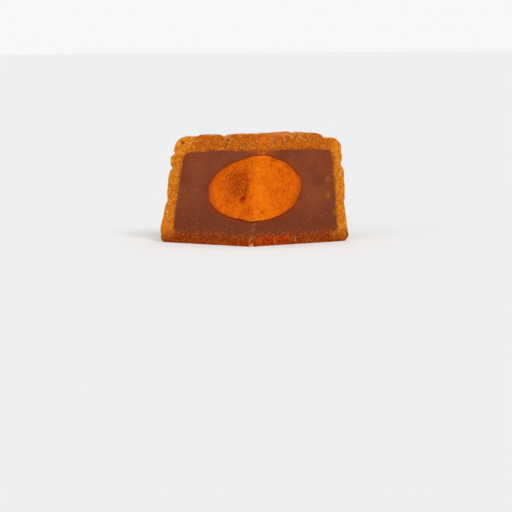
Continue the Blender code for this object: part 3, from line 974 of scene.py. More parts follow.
def make_crust():
    mesh = start_mesh(*CRUST_MARKS)
    outer = add_rows(mesh, crust_outline, CRUST_FAN)
    for row in outer:
        for vertex in row:
            mark(mesh, vertex, groove=skin_groove(vertex.co), pattern=in_pattern(vertex.co))
            mark(mesh, vertex, from_seam=FAR_AWAY, from_tip=FAR_AWAY)
    inner = add_rows(mesh, crust_inside, thin_out(CRUST_FAN, INSIDE_STEP))
    add_skin(mesh, outer)
    add_skin(mesh, inner)
    close_cuts(mesh, outer, inner, CRUST_RINGS, carve_crust)
    return finish_piece(mesh, "baked_shell", "crust")


shell = make_crust()

# %% [markdown]
# ## The salted yolk
# One salted duck yolk lies in the paste. The baking presses it flat, and it sags, so it is
# fuller below than above. Its outline in a section is half an ellipse whose width depends on
# the heading, corrected for the sag. It could be a scaled sphere, but the two halves that
# the knife shows aren't the same width, and the right one has a slight corner.

# %% Outline of the yolk
YOLK_HEIGHT = 18.5 * MM
YOLK_HALF_HEIGHT = 10.4 * MM
YOLK_LEFT_WIDTH = 19.1 * MM
YOLK_RIGHT_WIDTH = 16.5 * MM
YOLK_SAG = 0.09
YOLK_SAG_ENDS = 0.14
YOLK_LUMPS = (53.0, (3.0 * MM, 0.30 * MM), (1.2 * MM, 0.10 * MM))
YOLK_STEPS = 210
YOLK_FLATTENING = 0.25
CORNER_HEIGHT = 20.9 * MM
CORNER_RISE = 0.45 * MM
CORNER_HALF_WIDTH = 0.8 * MM
CORNER_START = 0.7


def yolk_outline(heading, grow, count):
    """Half outline of the yolk in one section, from below the tip round to above it."""
    turn = (heading - LEFT_CUT) / (RIGHT_CUT - LEFT_CUT)
    width = YOLK_LEFT_WIDTH + (YOLK_RIGHT_WIDTH - YOLK_LEFT_WIDTH) * turn
    points = []
    for part in even_steps(count):
        angle = math.pi * (part - 0.5)
        rise = math.sin(angle)
        sag = 1.0 - YOLK_SAG * rise - YOLK_SAG_ENDS * rise**3
        out = width * math.cos(angle) * sag
        up = YOLK_HEIGHT + YOLK_HALF_HEIGHT * rise
        point = place(out, up, heading)
        swelling = grow + relief(point, *YOLK_LUMPS)
        corner = CORNER_RISE * bell(up, CORNER_HEIGHT, CORNER_HALF_WIDTH)
        swelling += corner * blend(CORNER_START, 1.0, turn)
        out = max(out + swelling * math.cos(angle), 0.0)
        up += swelling * rise * blend(0.0, YOLK_FLATTENING, abs(rise))
        points.append((out, up))
    points[0] = (0.0, YOLK_HEIGHT - YOLK_HALF_HEIGHT - grow)
    points[-1] = (0.0, YOLK_HEIGHT + YOLK_HALF_HEIGHT + grow)
    return points


print("yolk:", round((YOLK_LEFT_WIDTH + YOLK_RIGHT_WIDTH) / MM, 1), "mm across the cuts")

# %% [markdown]
# ## Forms of the yolk's cut face
# The knife pulled a piece out of the left face and left a shallow hollow, with a sharp edge
# on the side of the tip. The front edge of the yolk gave way and is blunt. Beside it a
# highlight is painted, so where it lies is worked out here too, as a number for the finish.

# %% Blunt edge, hollow and highlight
YOLK_BLUNTNESS = 1.6 * MM
YOLK_BLUNT_REACH = 10.0 * MM
HOLLOW_START = 2.4 * MM
HOLLOW_EDGE = 4.2 * MM
HOLLOW_FULL = 6.8 * MM
HOLLOW_FADE = 8.7 * MM
HOLLOW_END = 17.0 * MM
HOLLOW_WAVER = (61.0, (1.8 * MM, 0.5 * MM))
HOLLOW_HEIGHT = 18.6 * MM
HOLLOW_HALF_HEIGHT = 4.6 * MM
HOLLOW_DEPTH = 1.4 * MM
HOLLOW_LIFT = 0.2
HIGHLIGHT_WIDTH = 5.0 * MM
HIGHLIGHT_LEFT_END = 6.0 * MM
HIGHLIGHT_LEFT_LEVELS = (9.0 * MM, 19.0 * MM)
HIGHLIGHT_RIGHT_LEVELS = (10.0 * MM, 20.0 * MM)


def yolk_blunting(height, out):
    """The yolk's front edge gives way under the knife, most of all at its mid-height."""
    inside = 1.0 - ((height - YOLK_HEIGHT) / YOLK_HALF_HEIGHT) ** 2
    blunt = YOLK_BLUNTNESS * max(inside, 0.0)
    back = out * math.cos(RIGHT_CUT)
    depth = (math.hypot(back, blunt) - back) * (1.0 - blend(0.0, YOLK_BLUNT_REACH, out))
    return Vector((0.0, depth, 0.0))


def in_hollow(point, out, side):
    """How far a place lies in the hollow of the left face, from 0 to 1."""
    if side != LEFT_CUT:
        return 0.0
    edge = blend(HOLLOW_START, HOLLOW_FULL, out + relief(point, *HOLLOW_WAVER))
    far = 1.0 - blend(HOLLOW_FADE, HOLLOW_END, out)
    middle = HOLLOW_HEIGHT + HOLLOW_LIFT * (out - HOLLOW_EDGE)
    return edge * far * bell(point.z, middle, HOLLOW_HALF_HEIGHT)


def glow(height, out, side):
    """Where a highlight is painted beside the tip, from 0 to 1. It reaches further on the right."""
    if side == LEFT_CUT:
        return (1.0 - blend(0.0, HIGHLIGHT_LEFT_END, out)) * blend(*HIGHLIGHT_LEFT_LEVELS, height)
    middle = HIGHLIGHT_WIDTH * (1.0 - blend(*HIGHLIGHT_RIGHT_LEVELS, height))
    return bell(out, middle, HIGHLIGHT_WIDTH)


print("yolk hollow:", round(HOLLOW_DEPTH / MM, 1), "mm deep")

# %% [markdown]
# ## The yolk's cut face
# A salted yolk is dense and oily, with a fine grain like wet sand. The grain is relief of
# three sizes. The hollow has faint upright ridges and a small pit at its lower end, and fine
# cracks run through the right face. The same places are marked on the vertices, because the
# finish paints shade in the hollow and the pit, is redder below them, and paints a highlight
# at the tip.

# %% Carve the yolk's cut face
YOLK_GRAIN = (67.0, (2.4 * MM, 0.14 * MM), (0.9 * MM, 0.07 * MM), (0.42 * MM, 0.045 * MM))
YOLK_OPEN_FACE = 1.5 * MM
YOLK_RIM_SINK = 0.18 * MM
YOLK_RIM_REACH = 0.35 * MM
YOLK_CRACK_WAVER = 0.3 * MM
YOLK_CRACK_WAVES = 1.3
YOLK_CRACK_SEED = 5.0
RIDGE_WIDTH = 0.45 * MM
RIDGE_LENGTH = 2.2 * MM
RIDGE_DEPTH = 0.3 * MM
RIDGE_SEED = 3.0
YOLK_PIT_DEPTH = 0.8 * MM

# Cracks: cut, distance and height of both ends, half-width and depth, all in mm
YOLK_CRACKS = (
    (RIGHT_CUT, (3.4, 27.6), (6.8, 26.4), 0.16, 0.4),
    (RIGHT_CUT, (10.0, 25.0), (11.2, 24.4), 0.14, 0.35),
)

# The pit and the redder patch under it: cut, distance and height, half-width and strength
PIT = ((LEFT_CUT, (5.9, 15.0), 1.3, 1.0),)
STAIN = ((LEFT_CUT, (2.8, 11.6), 1.5, 1.0),)


def carve_yolk(mesh, vertex, point, out, from_rim, _, inward, side):
    height = point.z
    hollow = in_hollow(point, out, side)
    pit = max(spots_felt(PIT, out, height, side))
    stain = max(spots_felt(STAIN, out, height, side))
    ridges = Vector((out / RIDGE_WIDTH, height / RIDGE_LENGTH, RIDGE_SEED))
    ridge = RIDGE_DEPTH * noise.noise(ridges)
    wave = noise.noise(Vector((out / MM, height / MM, YOLK_CRACK_SEED)) * YOLK_CRACK_WAVES)
    cracks = lines_felt(YOLK_CRACKS, out, height + YOLK_CRACK_WAVER * wave, side)
    depth = relief(point, *YOLK_GRAIN) + (HOLLOW_DEPTH + ridge) * hollow
    depth += YOLK_PIT_DEPTH * pit
    depth += YOLK_RIM_SINK * (1.0 - blend(0.0, YOLK_RIM_REACH, from_rim)) + sum(cracks) * MM
    depth *= blend(0.0, YOLK_OPEN_FACE, out)
    vertex.co = point + inward * depth + yolk_blunting(height, out) + tip_wear(point, out)
    mark(mesh, vertex, from_rim=from_rim / MM, hollow=hollow, pit=pit)
    mark(mesh, vertex, stain=stain, glow=glow(height, out, side))


print("yolk grain stands up to", round(sum(layer[1] for layer in YOLK_GRAIN[1:]) / MM, 2), "mm high")

# %% [markdown]
# ## Make the yolk
# The rings of its cut faces run from the outline straight to the tip, at one height each.

# %% Build the yolk
YOLK_FAN = heading_fan(4.6, (0.0, 0.8))
YOLK_RINGS = 72


def make_yolk():
    mesh = start_mesh("from_rim", "hollow", "pit", "stain", "glow")
    rows = add_rows(mesh, lambda h: yolk_outline(h, 0.0, YOLK_STEPS), YOLK_FAN)
    add_skin(mesh, rows)
    tips = []
    for row, side in ((rows[0], LEFT_CUT), (rows[-1], RIGHT_CUT)):
        tips.append([mesh.verts.new(place(0.0, vertex.co.z, side)) for vertex in row])
    close_cuts(mesh, rows, tips, YOLK_RINGS, carve_yolk)
    return finish_piece(mesh, "egg_yolk", "yolk")


yolk = make_yolk()

# %% [markdown]
# ## The lotus paste
# Lotus paste is smooth and fatty, and the knife leaves it nearly flat, with faint upright
# streaks and a few smears of crumbs. Round the yolk it has drawn back a little, most of all
# below, so a thin dark gap shows there. Its lip is rounded towards that gap.

# %% Build the paste
PASTE_PARTS = (even_steps(84), even_steps(76), steps_down(84))
PASTE_FAN = heading_fan(4.6, (0.0, 0.8))
PASTE_RINGS = 44
PASTE_GRAIN = (71.0, (5.0 * MM, 0.10 * MM), (1.3 * MM, 0.035 * MM), (0.5 * MM, 0.018 * MM))
STREAK_WIDTH = 0.5 * MM
STREAK_LENGTH = 5.0 * MM
STREAK_DEPTH = 0.03 * MM
LIP_REACH = 0.45 * MM
LIP_SINK = 0.12 * MM
GAP_BELOW = 0.22 * MM
GAP_START = YOLK_HEIGHT - 2.0 * MM
GAP_FULL = YOLK_HEIGHT - 9.0 * MM

# Smears of crumbs on the paste: cut, distance and height, half-width and strength
SMEARS = (
    (RIGHT_CUT, (27.6, 15.3), 1.0, 1.0),
    (RIGHT_CUT, (31.0, 9.5), 0.8, 1.0),
    (RIGHT_CUT, (26.6, 20.6), 0.7, 1.0),
)


def yolk_gap(height):
    """The paste has drawn back from the yolk, most of all below it."""
    return GAP_BELOW * blend(GAP_START, GAP_FULL, height)


def yolk_bed(heading):
    """The paste's inner outline, one point for each point of its outside."""
    count = sum(len(group) for group in PASTE_PARTS) + 2 * (FILLING_CORNER_STEPS - 1) - 1
    points = []
    for out, height in yolk_outline(heading, 0.0, count):
        gap = yolk_gap(height)
        along = Vector((out, height - YOLK_HEIGHT))
        grown = along + along.normalized() * gap
        points.append((grown.x if out > 0.0 else 0.0, YOLK_HEIGHT + grown.y))
    return points


def carve_paste(mesh, vertex, point, out, from_seam, from_yolk, inward, side):
    along = Vector((point.x / STREAK_WIDTH, point.y / STREAK_WIDTH, point.z / STREAK_LENGTH))
    depth = relief(point, *PASTE_GRAIN) + STREAK_DEPTH * noise.noise(along)
    depth += SEAM_SINK * (1.0 - blend(0.0, SEAM_REACH, from_seam))
    depth += LIP_SINK * (1.0 - blend(0.0, LIP_REACH, from_yolk))
    vertex.co = point + inward * depth * blend(0.0, MM, out) + tip_wear(point, out)
    smear = max(spots_felt(SMEARS, out, point.z, side))
    mark(mesh, vertex, from_seam=from_seam / MM, from_yolk=from_yolk / MM)
    mark(mesh, vertex, from_tip=out / MM, smear=smear)


def make_paste():
    mesh = start_mesh("from_seam", "from_yolk", "from_tip", "smear")
    outer = add_rows(mesh, lambda h: filling_outline(h, UNDERLAP, PASTE_PARTS), PASTE_FAN)
    inner = add_rows(mesh, yolk_bed, PASTE_FAN)
    add_skin(mesh, outer)
    add_skin(mesh, inner)
    close_cuts(mesh, outer, inner, PASTE_RINGS, carve_paste)
    return finish_piece(mesh, "paste_filling", "lotus_paste")


paste = make_paste()

# %% [markdown]
# ## Stray crumbs
# The knife drags crumbs of crust over the paste, and some stay there. Each one is a small
# lump: a coarse ball, pushed out of shape by noise and half sunk in the face. A few dozen
# real lumps catch the light as painted specks can't. They are joined to one mesh, because
# they are one kind of thing, and the draw is seeded, so they lie the same way at each run.

# %% Scatter the crumbs
STRAY_COUNT = 44
STRAY_SEED = 12
STRAY_SIZES = (0.07 * MM, 0.17 * MM)
STRAY_MARGIN = 1.2 * MM
STRAY_RAGGEDNESS = 0.5
STRAY_SHAPES = 100.0


def on_the_yolk(out, height):
    across = out / (YOLK_LEFT_WIDTH + STRAY_MARGIN)
    up = (height - YOLK_HEIGHT) / (YOLK_HALF_HEIGHT + STRAY_MARGIN)
    return math.hypot(across, up) < 1.0


def add_crumb(mesh, centre, size, shape):
    """One ragged lump; each number gives another shape."""
    shift = Vector((shape, -shape, 2.0 * shape))
    ball = bmesh.ops.create_icosphere(mesh, subdivisions=2, radius=size)
    for vertex in ball["verts"]:
        ragged = 1.0 + STRAY_RAGGEDNESS * noise.noise(vertex.co / size + shift)
        vertex.co = centre + vertex.co * ragged


def scatter_crumbs():
    draw = random.Random(STRAY_SEED)
    mesh = start_mesh()
    placed = 0
    while placed < STRAY_COUNT:
        side = draw.choice((LEFT_CUT, RIGHT_CUT))
        out = draw.uniform(0.0, PASTE_RADIUS - STRAY_MARGIN)
        height = draw.uniform(PASTE_BOTTOM, PASTE_TOP - STRAY_MARGIN)
        size = draw.uniform(*STRAY_SIZES)
        shape = draw.uniform(0.0, STRAY_SHAPES)
        edge = reach(lambda a: PASTE_RADIUS, height, side) - STRAY_MARGIN
        if out < edge and not on_the_yolk(out, height):
            add_crumb(mesh, place(out, height, side), size, shape)
            placed += 1
    return finish_piece(mesh, "stray_crumbs", None)


crumbs = scatter_crumbs()

# %% [markdown]
# ## Tools for the finishes
# A finish is a network of nodes. These helpers each add one node, and the first of them read
# the surface: a mark on the vertices, a place on the piece, or a noise whose blotches have a
# real size. The colours are written as they look on a screen and turned into light values
# once.

# %% Helpers that read the surface
BRIGHTEST = 255.0
GAMMA = 2.2


def screen_colour(red, green, blue):
    """Turns a colour as it looks on a screen, 0 to 255, into light values."""
    return tuple((v / BRIGHTEST) ** GAMMA for v in (red, green, blue)) + (1.0,)


def start_finish(name, sockets):
    """A new finish, with plain values on its shader's sockets."""
    finish = bpy.data.materials.new(name)
    finish.use_nodes = True
    shader = finish.node_tree.nodes["Principled BSDF"]
    for socket, value in sockets.items():
        shader.inputs[socket].default_value = value
    return finish, finish.node_tree, shader


def marked(tree, name):
    """The number that a mark wrote on the vertices."""
    node = tree.nodes.new("ShaderNodeAttribute")
    node.attribute_name = name
    return node.outputs["Fac"]


def position(tree):
    return tree.nodes.new("ShaderNodeTexCoord").outputs["Object"]


def height_of(tree):
    node = tree.nodes.new("ShaderNodeSeparateXYZ")
    tree.links.new(position(tree), node.inputs[0])
    return node.outputs["Z"]


def blotches(tree, size, detail, seed):
    """Noise with blotches of a size in mm; it lies between about 0.3 and 0.7."""
    node = tree.nodes.new("ShaderNodeTexNoise")
    node.noise_dimensions = "4D"
    node.inputs["W"].default_value = seed
    node.inputs["Scale"].default_value = 1.0 / (size * MM)
    node.inputs["Detail"].default_value = detail
    tree.links.new(position(tree), node.inputs["Vector"])
    return node.outputs["Fac"]


def random_grains(tree, size):
    """A random number from 0 to 1 for each grain, for grains of a size in mm."""
    node = tree.nodes.new("ShaderNodeTexVoronoi")
    node.inputs["Scale"].default_value = 1.0 / (size * MM)
    tree.links.new(position(tree), node.inputs["Vector"])
    split = tree.nodes.new("ShaderNodeSeparateColor")
    tree.links.new(node.outputs["Color"], split.inputs[0])
    return split.outputs[0]


print("middle grey in light values:", round(screen_colour(128, 128, 128)[0], 2))

# %% [markdown]
# ## Ramps, sums and mixes
# What is read from the surface is a plain number. A soft ramp turns it into a strength, two
# strengths are joined by arithmetic, and a strength mixes two colours. A fine bump, made of
# blotches too small to be modelled, breaks up the shine.

# %% Helpers that work with what was read


def ramp(tree, value, low, high, start, end):
    """Goes softly from start to end as the value goes from low to high."""
    node = tree.nodes.new("ShaderNodeMapRange")
    node.interpolation_type = "SMOOTHSTEP"
    node.inputs["From Min"].default_value = low
    node.inputs["From Max"].default_value = high
    node.inputs["To Min"].default_value = start
    node.inputs["To Max"].default_value = end
    tree.links.new(value, node.inputs["Value"])
    return node.outputs["Result"]


def join(tree, operation, first, second):
    node = tree.nodes.new("ShaderNodeMath")
    node.operation = operation
    node.use_clamp = True
    tree.links.new(first, node.inputs[0])
    tree.links.new(second, node.inputs[1])
    return node.outputs[0]


def mix(tree, amount, first, second):
    """Goes from the first colour to the second as the amount goes from 0 to 1."""
    node = tree.nodes.new("ShaderNodeMix")
    node.data_type = "RGBA"
    tree.links.new(amount, node.inputs["Factor"])
    for value, socket in ((first, node.inputs[6]), (second, node.inputs[7])):
        if isinstance(value, tuple):
            socket.default_value = value
        else:
            tree.links.new(value, socket)
    return node.outputs[2]


def add_bump(tree, shader, size, detail, seed, depth):
    """A fine bump in blotches of a size in mm."""
    node = tree.nodes.new("ShaderNodeBump")
    node.inputs["Distance"].default_value = depth * MM
    node.inputs["Strength"].default_value = 1.0
    tree.links.new(blotches(tree, size, detail, seed), node.inputs["Height"])
    tree.links.new(node.outputs["Normal"], shader.inputs["Normal"])


print("nodes are added by", ", ".join(tool.__name__ for tool in (ramp, join, mix, add_bump)))

# %% [markdown]
# ## Coats of colour
# A baker's glaze, an oil stain or a crust of crumbs lies over what is under it, so a finish is
# built the same way: a ground colour, with coats laid over it one after another. Each coat
# has a colour and the places where it lies, and it lies only where all of them agree. Places
# are small functions that wait for the network they are used in, so a whole finish can be
# written as a list. The last two numbers of a place are the strengths that it goes from and
# to. Without them it goes from none to full. Marks of distance, such as `from_tip`, are in mm.

# %% Places and coats


def marked_as(name):
    """As strong as the mark itself."""
    return lambda tree: marked(tree, name)


def where(name, low, high, start=0.0, end=1.0):
    """By a mark: the strength changes as the mark goes from low to high."""
    return lambda tree: ramp(tree, marked(tree, name), low, high, start, end)


def level(low, high, start=0.0, end=1.0):
    """By height: the strength changes between two heights above the base, in mm."""
    return lambda tree: ramp(tree, height_of(tree), low * MM, high * MM, start, end)


def specks(size, detail, seed, low, high, start=0.0, end=1.0):
    """Specks of a size in mm: the strength changes as their noise goes from low to high."""
    return lambda tree: ramp(tree, blotches(tree, size, detail, seed), low, high, start, end)


def grains(size, low, high, start=0.0, end=1.0):
    """Grains of a size in mm: the strength changes with the random number of each."""
    return lambda tree: ramp(tree, random_grains(tree, size), low, high, start, end)


def less(first, second):
    return lambda tree: join(tree, "SUBTRACT", first(tree), second(tree))


def either(first, second):
    return lambda tree: join(tree, "MAXIMUM", first(tree), second(tree))


def all_of(first, *others):
    """Only where all the places agree."""
    def strength(tree):
        amount = first(tree)
        for other in others:
            amount = join(tree, "MULTIPLY", amount, other(tree))
        return amount
    return strength


def lay(tree, ground, *coats):
    """Lays coats over a ground colour. A coat is a colour and the places where it lies."""
    for colour, *places in coats:
        ground = mix(tree, all_of(*places)(tree), ground, colour)
    return ground


def finish_in_coats(name, sockets, ground, coats, bump=None):
    """A whole finish: plain values, a ground colour under its coats, and a fine bump."""
    finish, tree, shader = start_finish(name, sockets)
    tree.links.new(lay(tree, ground, *coats), shader.inputs["Base Color"])
    if bump:
        add_bump(tree, shader, *bump)
    return finish


print("coats can lie on marks, levels, specks and grains")

# %% [markdown]
# ## The baked skin
# The skin was brushed with egg before baking. It is light gold on the lobes and the rim,
# browner on the raised pattern, and darkest at the foot, where the tin was hottest. Red-brown
# shade is painted into the flute grooves and the crease under the rim, and darker shade onto
# the slopes of the pattern. Only the parts that the brush reached shine a little.

# %% Colour the skin
SKIN_GOLD = screen_colour(232, 164, 66)
SKIN_WARM = screen_colour(224, 148, 50)
SKIN_PALE = screen_colour(238, 184, 100)
SKIN_TOP = screen_colour(196, 108, 28)
SKIN_SLOPE_SHADE = screen_colour(196, 102, 26)
SKIN_FLOOR = screen_colour(188, 108, 38)
SKIN_GROOVE_SHADE_AND_FLECKS = screen_colour(190, 98, 24)
SKIN_FOOT = screen_colour(182, 88, 28)
SKIN_SOLE = screen_colour(146, 62, 18)

# Over the gold, red-brown shade is painted into the flute grooves and the crease under the rim.
GOLD_COATS = (
    (SKIN_WARM, specks(9.0, 3.0, 0.0, 0.4, 0.7)),
    (SKIN_GROOVE_SHADE_AND_FLECKS, where("groove", 0.3, 1.0, 0.0, 0.9)),
)
# The slopes of the pattern are painted darker, as shade; its floor keeps its own colour.
PATTERN_COATS = (
    (SKIN_SLOPE_SHADE, where("groove", 0.1, 0.4)),
    (SKIN_FLOOR, where("groove", 0.75, 0.98)),
)
BROWNING_COATS = (
    (SKIN_FOOT, level(0.5, 8.5, 1.0, 0.0)),
    (SKIN_SOLE, level(0.0, 2.0, 1.0, 0.0)),
    (SKIN_PALE, specks(0.4, 2.0, 21.0, 0.4, 0.7, 0.0, 0.3)),
    (SKIN_GROOVE_SHADE_AND_FLECKS, specks(0.7, 3.0, 6.0, 0.54, 0.74, 0.0, 0.3)),
)
GLAZE = all_of(
    where("cut", 0.0, 0.5, 0.3, 0.0), where("groove", 0.1, 0.4, 1.0, 0.0), level(1.0, 6.0)
)


def skin_colour(tree):
    """Gold lobes and rim, a browner pattern, and the browning of the oven over both."""
    gold = lay(tree, SKIN_GOLD, *GOLD_COATS)
    pattern = lay(tree, SKIN_TOP, *PATTERN_COATS)
    return lay(tree, gold, (pattern, marked_as("pattern")), *BROWNING_COATS)


print("skin:", len(GOLD_COATS + PATTERN_COATS + BROWNING_COATS), "coats over gold")

# %% [markdown]
# ## The crust's cut face
# Cut crust is matt and full of crumbs of every shade. On top it is orange, at both sides
# golden and yellower towards the skin, and over the yolk it is soaked with oil. Dark, clotted
# crumbs come first, with painted shade where the face is sunk between crumbs, then light and
# cream ones over them, then what belongs to one place: the darker seam beside the paste, a
# painted highlight along the lips of cracks, and painted shade in the cracks and holes.

# %% Colour the crumbs
CRUMB_ORANGE = screen_colour(180, 86, 15)
CRUMB_GOLD = screen_colour(206, 116, 16)
CRUMB_YELLOW = screen_colour(224, 142, 24)
CRUMB_LIGHT = screen_colour(218, 142, 50)
CRUMB_CREAM = screen_colour(226, 172, 100)
CRUMB_RED = screen_colour(162, 68, 6)
CRUMB_RUSSET = screen_colour(178, 80, 8)
CRUMB_SEAM = screen_colour(140, 62, 26)
CRACK_SHADE = screen_colour(140, 46, 2)
TIP_OILY = screen_colour(214, 102, 0)
RAGGED = specks(0.6, 3.0, 7.0, 0.4, 0.6, 0.35, 1.0)
OVER_PASTE = (28.5, 30.5)
INSIDE_WALL = (24.0, 30.0)


def above_paste(strength):
    """The top of the crust between its two sides."""
    top = level(*OVER_PASTE, 0.0, strength)
    return all_of(top, where("from_tip", *INSIDE_WALL, 1.0, 0.0))


CRUMB_COATS = (
    (CRUMB_ORANGE, above_paste(1.0)),
    (CRUMB_YELLOW, less(where("from_seam", 2.2, 4.4, 0.0, 0.6), above_paste(1.0))),
    (TIP_OILY, where("from_tip", 0.0, 5.0, 0.8, 0.0), specks(1.5, 3.0, 8.0, 0.35, 0.55)),
    (CRUMB_RED, specks(1.0, 4.0, 5.0, 0.46, 0.64, 0.0, 0.6)),
    (CRUMB_RUSSET, less(specks(1.9, 4.0, 22.0, 0.46, 0.62, 0.0, 0.6), above_paste(0.4))),
    # Painted shade: darker red where the face is sunk between the crumbs.
    (CRUMB_RED, where("hill", 0.08, 0.5, 0.0, 0.5)),
    (CRUMB_LIGHT, specks(0.5, 2.0, 1.0, 0.48, 0.68, 0.0, 0.75)),
    (CRUMB_CREAM, less(specks(0.8, 2.0, 2.0, 0.56, 0.7, 0.0, 0.75), above_paste(0.3))),
    (CRUMB_SEAM, where("from_seam", 0.0, 1.8, 1.0, 0.0), RAGGED),
    # Painted highlight along the lips of cracks and notches.
    (CRUMB_CREAM, where("lip", 0.3, 0.9, 0.0, 0.6), RAGGED),
    # Painted shade in the cracks and the holes.
    (CRACK_SHADE, where("fault", 0.2, 0.6, 0.0, 0.85)),
)
print("crumbs:", len(CRUMB_COATS), "coats over gold")

# %% [markdown]
# ## The foot of the cut face
# The bottom of the crust lay on the hot tin. Its cut face is brown-red, with orange crumbs in
# it, a rough red patch on the right, and pale crumbs along the tip with a painted highlight
# on them. It passes into the brighter crumbs above it and at both lower corners, so it is
# laid together with them.

# %% Finish the crust
BASE_BROWN = screen_colour(120, 46, 10)
BASE_SEAM = screen_colour(124, 56, 28)
BASE_ORANGE = screen_colour(176, 82, 16)
BASE_RED = screen_colour(146, 32, 0)
FOOT_ORANGE = screen_colour(196, 82, 4)
CRUST_SOCKETS = {
    "Specular IOR Level": 0.08,
    "Coat Roughness": 0.28,
    "Subsurface Weight": 0.12,
    "Subsurface Radius": (1.0, 0.4, 0.1),
    "Subsurface Scale": 0.8 * MM,
}
CRUST_ROUGHNESS = where("cut", 0.0, 1.0, 0.45, 0.9)
CRUST_BUMP = (0.5, 4.0, 9.0, 0.2)

BASE_COATS = (
    (BASE_RED, where("from_tip", 2.0, 12.0, 0.35, 0.0)),
    (BASE_SEAM, where("from_seam", 0.2, 2.6, 0.95, 0.0)),
    (BASE_ORANGE, specks(0.6, 3.0, 12.0, 0.46, 0.66, 0.0, 0.75)),
    (BASE_ORANGE, specks(1.6, 3.0, 13.0, 0.54, 0.66, 0.0, 0.6)),
)
ROUGH_COATS = ((FOOT_ORANGE, specks(0.8, 4.0, 18.0, 0.42, 0.64)),)
ROUGH_PATCH = where("rough_foot", 0.2, 0.8, 0.0, 0.65)
LIGHT_SPECKS = specks(0.6, 1.0, 14.0, 0.66, 0.76, 0.0, 0.6)
LOWER_CORNER = all_of(where("from_tip", 28.5, 32.5), level(0.0, 5.5))
# Pale crumbs along the tip with a painted edge highlight, and the painted highlight of the lips.
PALE_TIP_CRUMBS_AND_HIGHLIGHTS = either(
    all_of(where("from_tip", 0.3, 1.1, 0.75, 0.0), specks(0.9, 2.0, 16.0, 0.4, 0.6)),
    where("lip", 0.3, 0.9, 0.0, 0.5),
)
ABOVE_FOOT = level(3.0, 6.2)


def cut_colour(tree):
    """The crumbs of the cut face, and the darker foot under them."""
    face = lay(tree, CRUMB_GOLD, *CRUMB_COATS)
    rough = lay(tree, BASE_RED, *ROUGH_COATS)
    foot = lay(tree, BASE_BROWN, *BASE_COATS)
    foot = lay(tree, foot, (rough, ROUGH_PATCH), (CRUMB_LIGHT, LIGHT_SPECKS))
    foot = lay(tree, foot, (face, LOWER_CORNER), (CRUMB_CREAM, PALE_TIP_CRUMBS_AND_HIGHLIGHTS))
    return lay(tree, foot, (face, ABOVE_FOOT))


def finish_crust():
    finish, tree, shader = start_finish("baked_crust_finish", CRUST_SOCKETS)
    colour = lay(tree, skin_colour(tree), (cut_colour(tree), marked_as("cut")))
    tree.links.new(colour, shader.inputs["Base Color"])
    tree.links.new(CRUST_ROUGHNESS(tree), shader.inputs["Roughness"])
    tree.links.new(GLAZE(tree), shader.inputs["Coat Weight"])
    add_bump(tree, shader, *CRUST_BUMP)
    return finish


shell.data.materials.append(finish_crust())
print("crust finished, with", len(CRUMB_COATS + BASE_COATS), "coats on its cut face")

# %% [markdown]
# ## The stray crumbs' finish
# The crumbs on the paste are bits of the same crust, some orange and some tan. They have only
# one coat. Its blotches are much larger than a crumb, so each crumb gets a single shade.

# %% Finish the stray crumbs
STRAY_TAN = screen_colour(206, 140, 82)
STRAY_SOCKETS = {"Roughness": 0.8, "Specular IOR Level": 0.08}
STRAY_COATS = ((STRAY_TAN, specks(2.0, 2.0, 0.0, 0.35, 0.65)),)

crumb_finish = finish_in_coats("stray_crumb_finish", STRAY_SOCKETS, CRUMB_ORANGE, STRAY_COATS)
crumbs.data.materials.append(crumb_finish)
print("finished", STRAY_COUNT, "stray crumbs")

# %% [markdown]
# ## The paste's finish
# The paste is a warm brown with a satin face. Light goes a little way into it, which softens
# it. Slow mottling and tan specks keep it from looking like plastic. Shade is painted in low
# down, so it darkens towards the bottom. Oil from the yolk reddens it all round, and most of
# all in the thin strip between the yolk and the crust. Crumbs are rubbed into it along the
# seam, above the foot and where the knife left smears, and pale crumbs with a painted
# highlight run along the tip.

# %% Finish the paste
PASTE_BROWN = screen_colour(130, 65, 35)
PASTE_DEEP = screen_colour(114, 54, 28)
PASTE_LOW_SHADE = screen_colour(108, 50, 26)
PASTE_TAN = screen_colour(160, 94, 58)
PASTE_CRUMB = screen_colour(162, 76, 24)
PASTE_OILY = screen_colour(134, 46, 8)
PASTE_SMEAR = screen_colour(168, 92, 46)
PASTE_SOAKED = screen_colour(160, 68, 30)
PASTE_SOCKETS = {
    "Roughness": 0.5,
    "Specular IOR Level": 0.12,
    "Subsurface Weight": 0.2,
    "Subsurface Radius": (1.0, 0.4, 0.2),
    "Subsurface Scale": 1.2 * MM,
}
PASTE_BUMP = (0.6, 3.0, 8.0, 0.04)
RUBBED_IN = specks(0.6, 3.0, 12.0, 0.46, 0.64)
# Specks for pale crumbs and a painted edge highlight along the tip, strongest low down.
TIP_CRUMBS_AND_HIGHLIGHT = all_of(specks(0.9, 2.0, 16.0, 0.4, 0.6), level(8.0, 12.0, 1.0, 0.4))
OVER_YOLK = level(28.5, 29.8)

